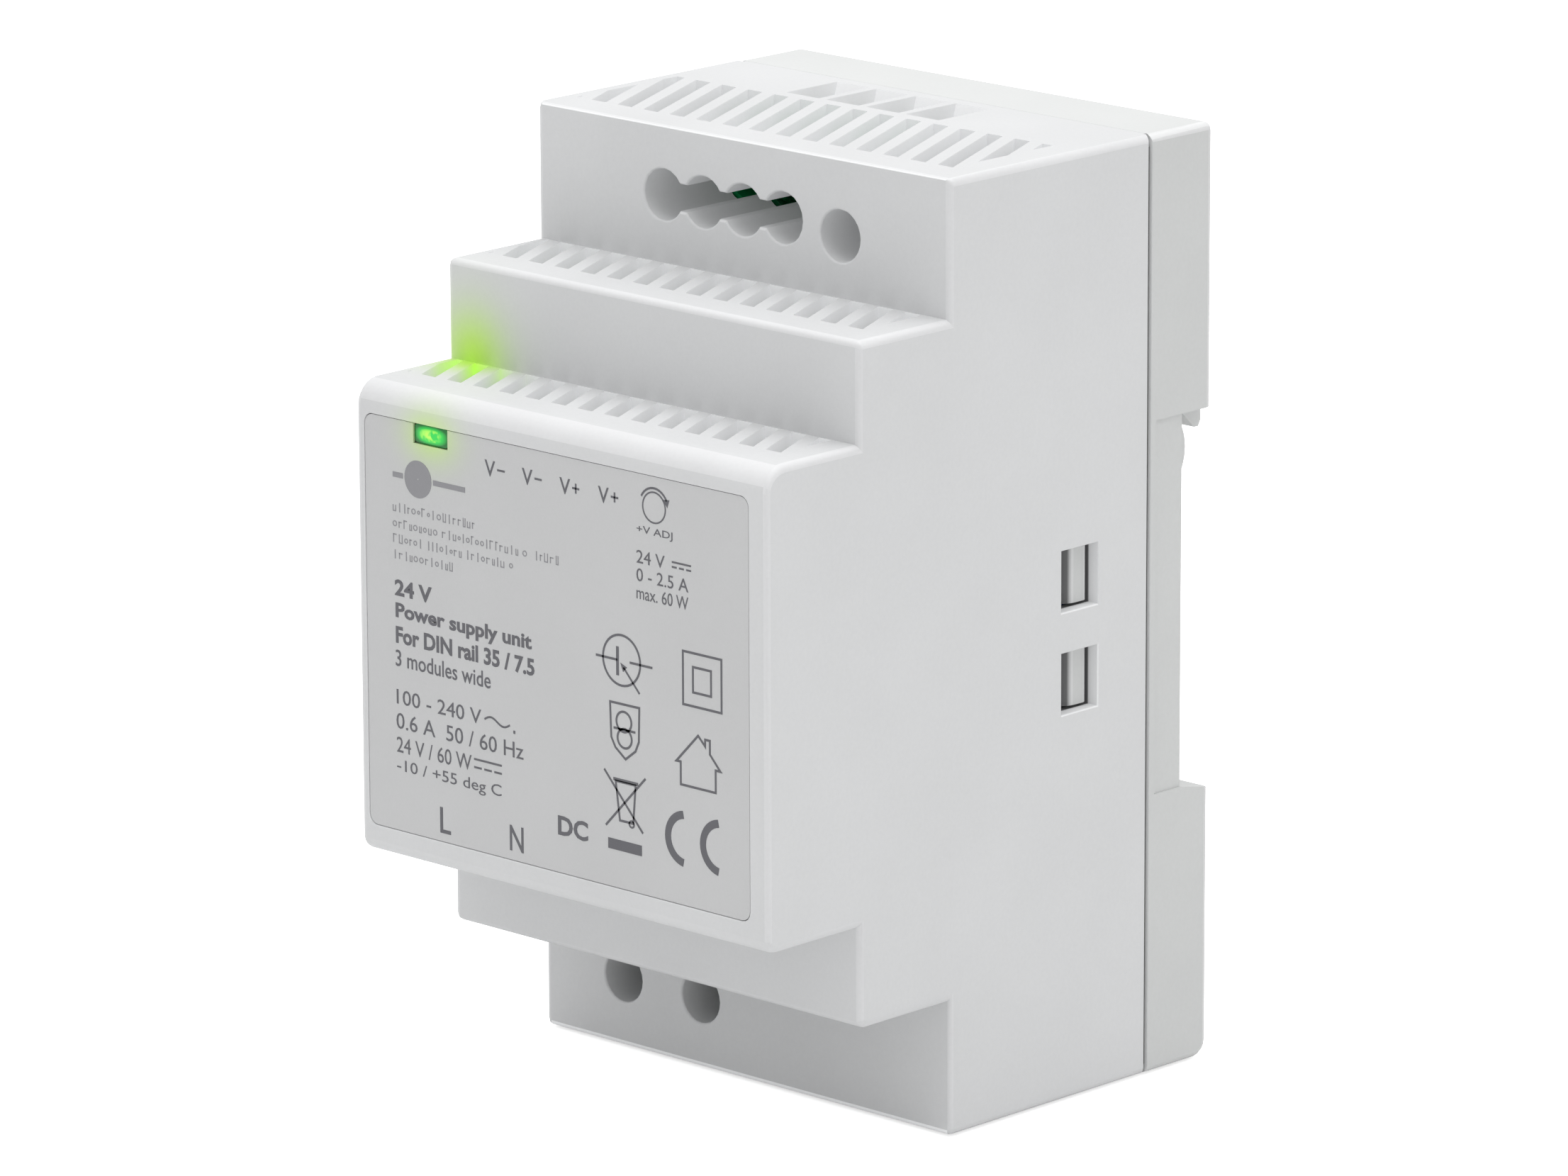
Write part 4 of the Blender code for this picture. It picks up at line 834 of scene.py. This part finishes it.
# output rating, and the direct current mark after it
dark.text("24 V", 9.85, 13.4, 11.14, 12.35, 0.0)
dark.bar(14.3, 16.7, 11.95, 0.17)
for i in range(3):
    dark.bar(14.3 + 0.9 * i, 14.9 + 0.9 * i, 11.5, 0.17)
dark.text("0 - 2.5 A", 9.84, 16.35, 9.45, 10.66, 0.0)
dark.text("max. 60 W", 9.83, 16.34, 7.80, 9.0, 0.0)

# switching mark and the double square
dark.ring((7.87, 1.67), 2.36, thin)
dark.bar(4.60, 7.34, 1.65, thin)
dark.bar(8.9, 11.76, 1.65, thin)
dark.stroke([(7.35, 0.2), (7.35, 2.9)], 0.34)
dark.stroke([(10.12, -1.07), (8.1, 1.06)], 0.2)
dark.solid([(7.72, 1.44), (8.55, 1.12), (8.05, 0.62)])
for left, right, bottom, top in ((15.61, 20.42, -0.99, 3.95), (16.86, 19.12, 0.31, 2.66)):
    dark.stroke([(left, bottom), (right, bottom), (right, top), (left, top)], thin, True)

# shield with two rings
dark.stroke([(6.36, -2.42), (10.07, -2.40), (9.98, -5.6), (9.55, -6.55), (8.28, -7.52), (7.0, -6.6),
             (6.48, -5.7)], thin, True)
dark.ring((8.10, -4.05), 0.95, thin)
dark.ring((8.18, -5.60), 0.9, thin)
dark.bar(6.79, 9.55, -4.78, thin)

# house
dark.stroke([(17.47, -3.62), (14.72, -6.42), (15.26, -6.42), (15.26, -8.54), (19.64, -8.54), (19.64, -6.46),
             (20.24, -6.46), (18.93, -5.10), (18.93, -3.83), (18.34, -3.83), (18.34, -4.46)], thin, True)

# bin with two crossed strokes, over a bar
dark.stroke([(7.0, -9.75), (9.53, -9.75), (9.2, -13.4), (7.5, -13.4)], thin, True)
dark.bar(6.7, 9.85, -9.6, 0.3)
dark.ring((9.0, -13.5), 0.3, 0.18)
dark.stroke([(5.54, -8.89), (10.43, -14.09)], thin)
dark.stroke([(10.79, -8.88), (5.70, -14.14)], thin)
dark.bar(5.98, 10.27, -15.76, 1.0)

# two open arcs, and a short word
for left in (13.24, 17.64):
    dark.ring((left + 2.64, -13.61), 2.28, 0.75, 98, 262)
dark.text("DC", -0.47, 3.40, -16.26, -14.38, 0.028)

# title and ratings on the left
dark.text("24 V", -21.53, -16.63, 2.69, 4.25, 0.03)
dark.text("Power supply unit", -21.46, -3.65, 0.2, 2.03, 0.03)
dark.text("For DIN rail 35 / 7.5", -21.47, -3.33, -1.87, -0.21, 0.03)
dark.text("3 modules wide", -21.53, -9.05, -4.05, -2.48, 0.006)
dark.text("100 - 240 V", -21.47, -10.33, -7.66, -6.24, 0.0)
wave = np.linspace(0, 2 * math.pi, 17)
dark.stroke(np.stack([-9.9 + 3.3 * wave / (2 * math.pi), -7.05 + 0.32 * np.sin(wave)], 1), 0.19)
dark.bar(-6.15, -5.9, -7.6, 0.3)
dark.text("0.6 A  50 / 60 Hz", -21.54, -4.87, -10.02, -8.50, 0.0)
dark.text("24 V / 60 W", -21.54, -11.66, -12.3, -10.81, 0.0)
dark.bar(-11.33, -7.71, -11.1, 0.19)
for i in range(3):
    dark.bar(-11.33 + 1.32 * i, -10.35 + 1.32 * i, -11.87, 0.19)
dark.text("-10 / +55 deg C", -21.54, -7.78, -14.4, -12.97, 0.0)
dark.text("L", -15.9, -14.5, -19.0, -16.53, 0.006)
dark.text("N", -6.75, -4.97, -18.93, -16.5, 0.006)
dark.finish()


def row_of_marks(printed, x0, x1, z0, z1, seed):
    """A line of small upright marks of uneven width, standing for print too fine to read."""
    draw = np.random.default_rng(seed)
    x, middle = x0, (z0 + z1) / 2
    while x < x1 - 0.3:
        width = float(draw.choice([0.34, 0.46, 0.55]))
        tall = z1 if draw.random() < 0.35 else z1 - 0.28 * (z1 - z0)
        kind = int(draw.integers(0, 4))
        if draw.random() < 0.13:
            x += 0.4
            continue
        if kind == 0:
            printed.stroke([(x, z0 + 0.05), (x, tall)], 0.11)
            printed.stroke([(x, tall - 0.06), (x + width * 0.7, tall - 0.06)], 0.1)
        elif kind == 1:
            printed.ring((x + width * 0.35, middle - 0.05), min(width, z1 - z0) * 0.42, 0.1)
        elif kind == 2:
            far, foot = x + width * 0.7, z0 + 0.06
            printed.stroke([(x, tall), (x, foot), (far, foot), (far, tall)], 0.1)
        else:
            printed.stroke([(x + width * 0.35, z0), (x + width * 0.35, z1)], 0.12)
        x += width + 0.2


pale = Print("label_fine_print", pale_ink)
row_of_marks(pale, -21.6, -10.77, 10.68, 11.55, 1)
row_of_marks(pale, -21.6, 0.41, 9.15, 10.02, 2)
row_of_marks(pale, -21.6, -5.36, 7.70, 8.57, 3)
row_of_marks(pale, -21.6, -13.79, 6.20, 7.06, 4)
# a plain round mark between two rules
pale.ring((-18.27, 14.2), 0.92, 1.7)
pale.bar(-21.6, -20.25, 14.2, 0.5)
pale.bar(-16.3, -12.1, 14.2, 0.5)
pale.finish()


# ---------------------------------------------------------------- status lamp
def lens_surface():
    """The lens: rounded rectangles |x/a|^n + |z/b|^n = s^n, their front at y = front - bulge (1 - s^2.5)."""
    half_x, half_z, power, bulge = 2.2 * MM, 0.93 * MM, 6.0, 0.14 * MM
    front, rear = label_low.y + 0.16 * MM, label_high.y - 0.05 * MM
    steps, rings = 56, 9
    turns = np.linspace(0, 2 * math.pi, steps, endpoint=False)
    reach = (np.abs(np.cos(turns)) ** power + np.abs(np.sin(turns)) ** power) ** (-1 / power)
    share = np.append(np.linspace(0, 1, rings + 1)[1:], 1)[:, None]
    depth = front - bulge * (1 - share ** 2.5)
    depth[-1] = rear
    x, z = lamp.x + share * half_x * reach * np.cos(turns), lamp.z + share * half_z * reach * np.sin(turns)
    shell = np.stack([x, np.broadcast_to(depth, x.shape), z], -1).reshape(-1, 3)
    cap = list(range(1 + rings * steps, 1 + (rings + 1) * steps))[::-1]
    return (np.vstack([[(lamp.x, front - bulge, lamp.z)], shell]),
            fan_faces(steps) + ring_faces(rings + 1, steps, 1) + [cap])


lens = new_piece("lamp_window_lens", *lens_surface(), lamp_material("lit_lens", 1.0))


# ---------------------------------------------------------------- floor, light and camera
def floor_surface():
    """A flat disc of circles x = r cos t, y = r sin t, finer near the object, just under its lowest point."""
    steps = 48
    turns = np.linspace(0, 2 * math.pi, steps, endpoint=False)
    radius = np.array([0.05, 0.1, 0.2, 0.4, 0.8, 1.6, 4.0, 12.0])[:, None]
    level = -half_height - 0.2 * MM
    x, y = radius * np.cos(turns), radius * np.sin(turns)
    points = np.stack([x, y, np.full(x.shape, level)], -1).reshape(-1, 3)
    faces = fan_faces(steps) + ring_faces(len(radius), steps, 1)
    return np.vstack([[(0, 0, level)], points]), [face[::-1] for face in faces]


floor_paint = material("studio_floor", (0.88, 0.88, 0.88), grain, {"Scale": 300.0, "Depth": 0.02, "Gloss": 0.8},
                       Emission_Color=(1.0, 1.0, 1.0, 1.0))
floor_tree, floor_glow = floor_paint.node_tree, 0.62
seen = add(floor_tree, "ShaderNodeLightPath").outputs["Is Camera Ray"]
floor_tree.links.new(math_node(floor_tree, "MULTIPLY", seen, floor_glow),
                     floor_tree.nodes["Principled BSDF"].inputs["Emission Strength"])
floor = new_piece("studio_floor", *floor_surface(), floor_paint, body=None)

world = bpy.data.worlds.new("studio")
bpy.context.scene.world = world
world.use_nodes = True
backdrop = world.node_tree.nodes["Background"]
backdrop.inputs["Color"].default_value = (1.0, 1.0, 1.0, 1.0)
backdrop.inputs["Strength"].default_value = 0.75


def panel(name, place, size, power, aim=(0.0, -0.028, 0.0)):
    """A soft rectangular light that faces the object."""
    data = bpy.data.lights.new(name, "AREA")
    data.shape = "RECTANGLE"
    data.size, data.size_y = size
    data.energy = power
    item = bpy.data.objects.new(name, data)
    item.location = place
    item.rotation_euler = (Vector(aim) - Vector(place)).to_track_quat("-Z", "Y").to_euler()
    bpy.context.scene.collection.objects.link(item)


panel("overhead", (0.08, 0.1, 1.3), (1.3, 1.3), 12.6)
panel("front_hand", (-0.5, -1.4, 0.5), (1.0, 1.0), 0.4)

azimuth, elevation, roll = math.radians(43.73), math.radians(14.22), math.radians(-0.21)
distance = 0.8987
forward = Vector((-math.sin(azimuth) * math.cos(elevation), math.cos(azimuth) * math.cos(elevation),
                  -math.sin(elevation)))
side = forward.cross(Vector((0, 0, 1))).normalized()
above = side.cross(forward)
right = side * math.cos(roll) + above * math.sin(roll)
upward = above * math.cos(roll) - side * math.sin(roll)
middle_of_case = Vector((0, -28.8 * MM, 0))
target = middle_of_case + right * 1.766 * MM + upward * 2.006 * MM
view = bpy.data.cameras.new("camera")
view.lens = 222.1
view.sensor_width = 36.0
view.clip_start = 0.05
view.clip_end = 50.0
camera = bpy.data.objects.new("camera", view)
turn = Matrix((right, upward, -forward)).transposed()
camera.matrix_world = Matrix.Translation(target - forward * distance) @ turn.to_4x4()
bpy.context.scene.collection.objects.link(camera)
bpy.context.scene.camera = camera
bpy.context.scene.view_settings.view_transform = "Standard"
bpy.context.scene.view_settings.look = "None"
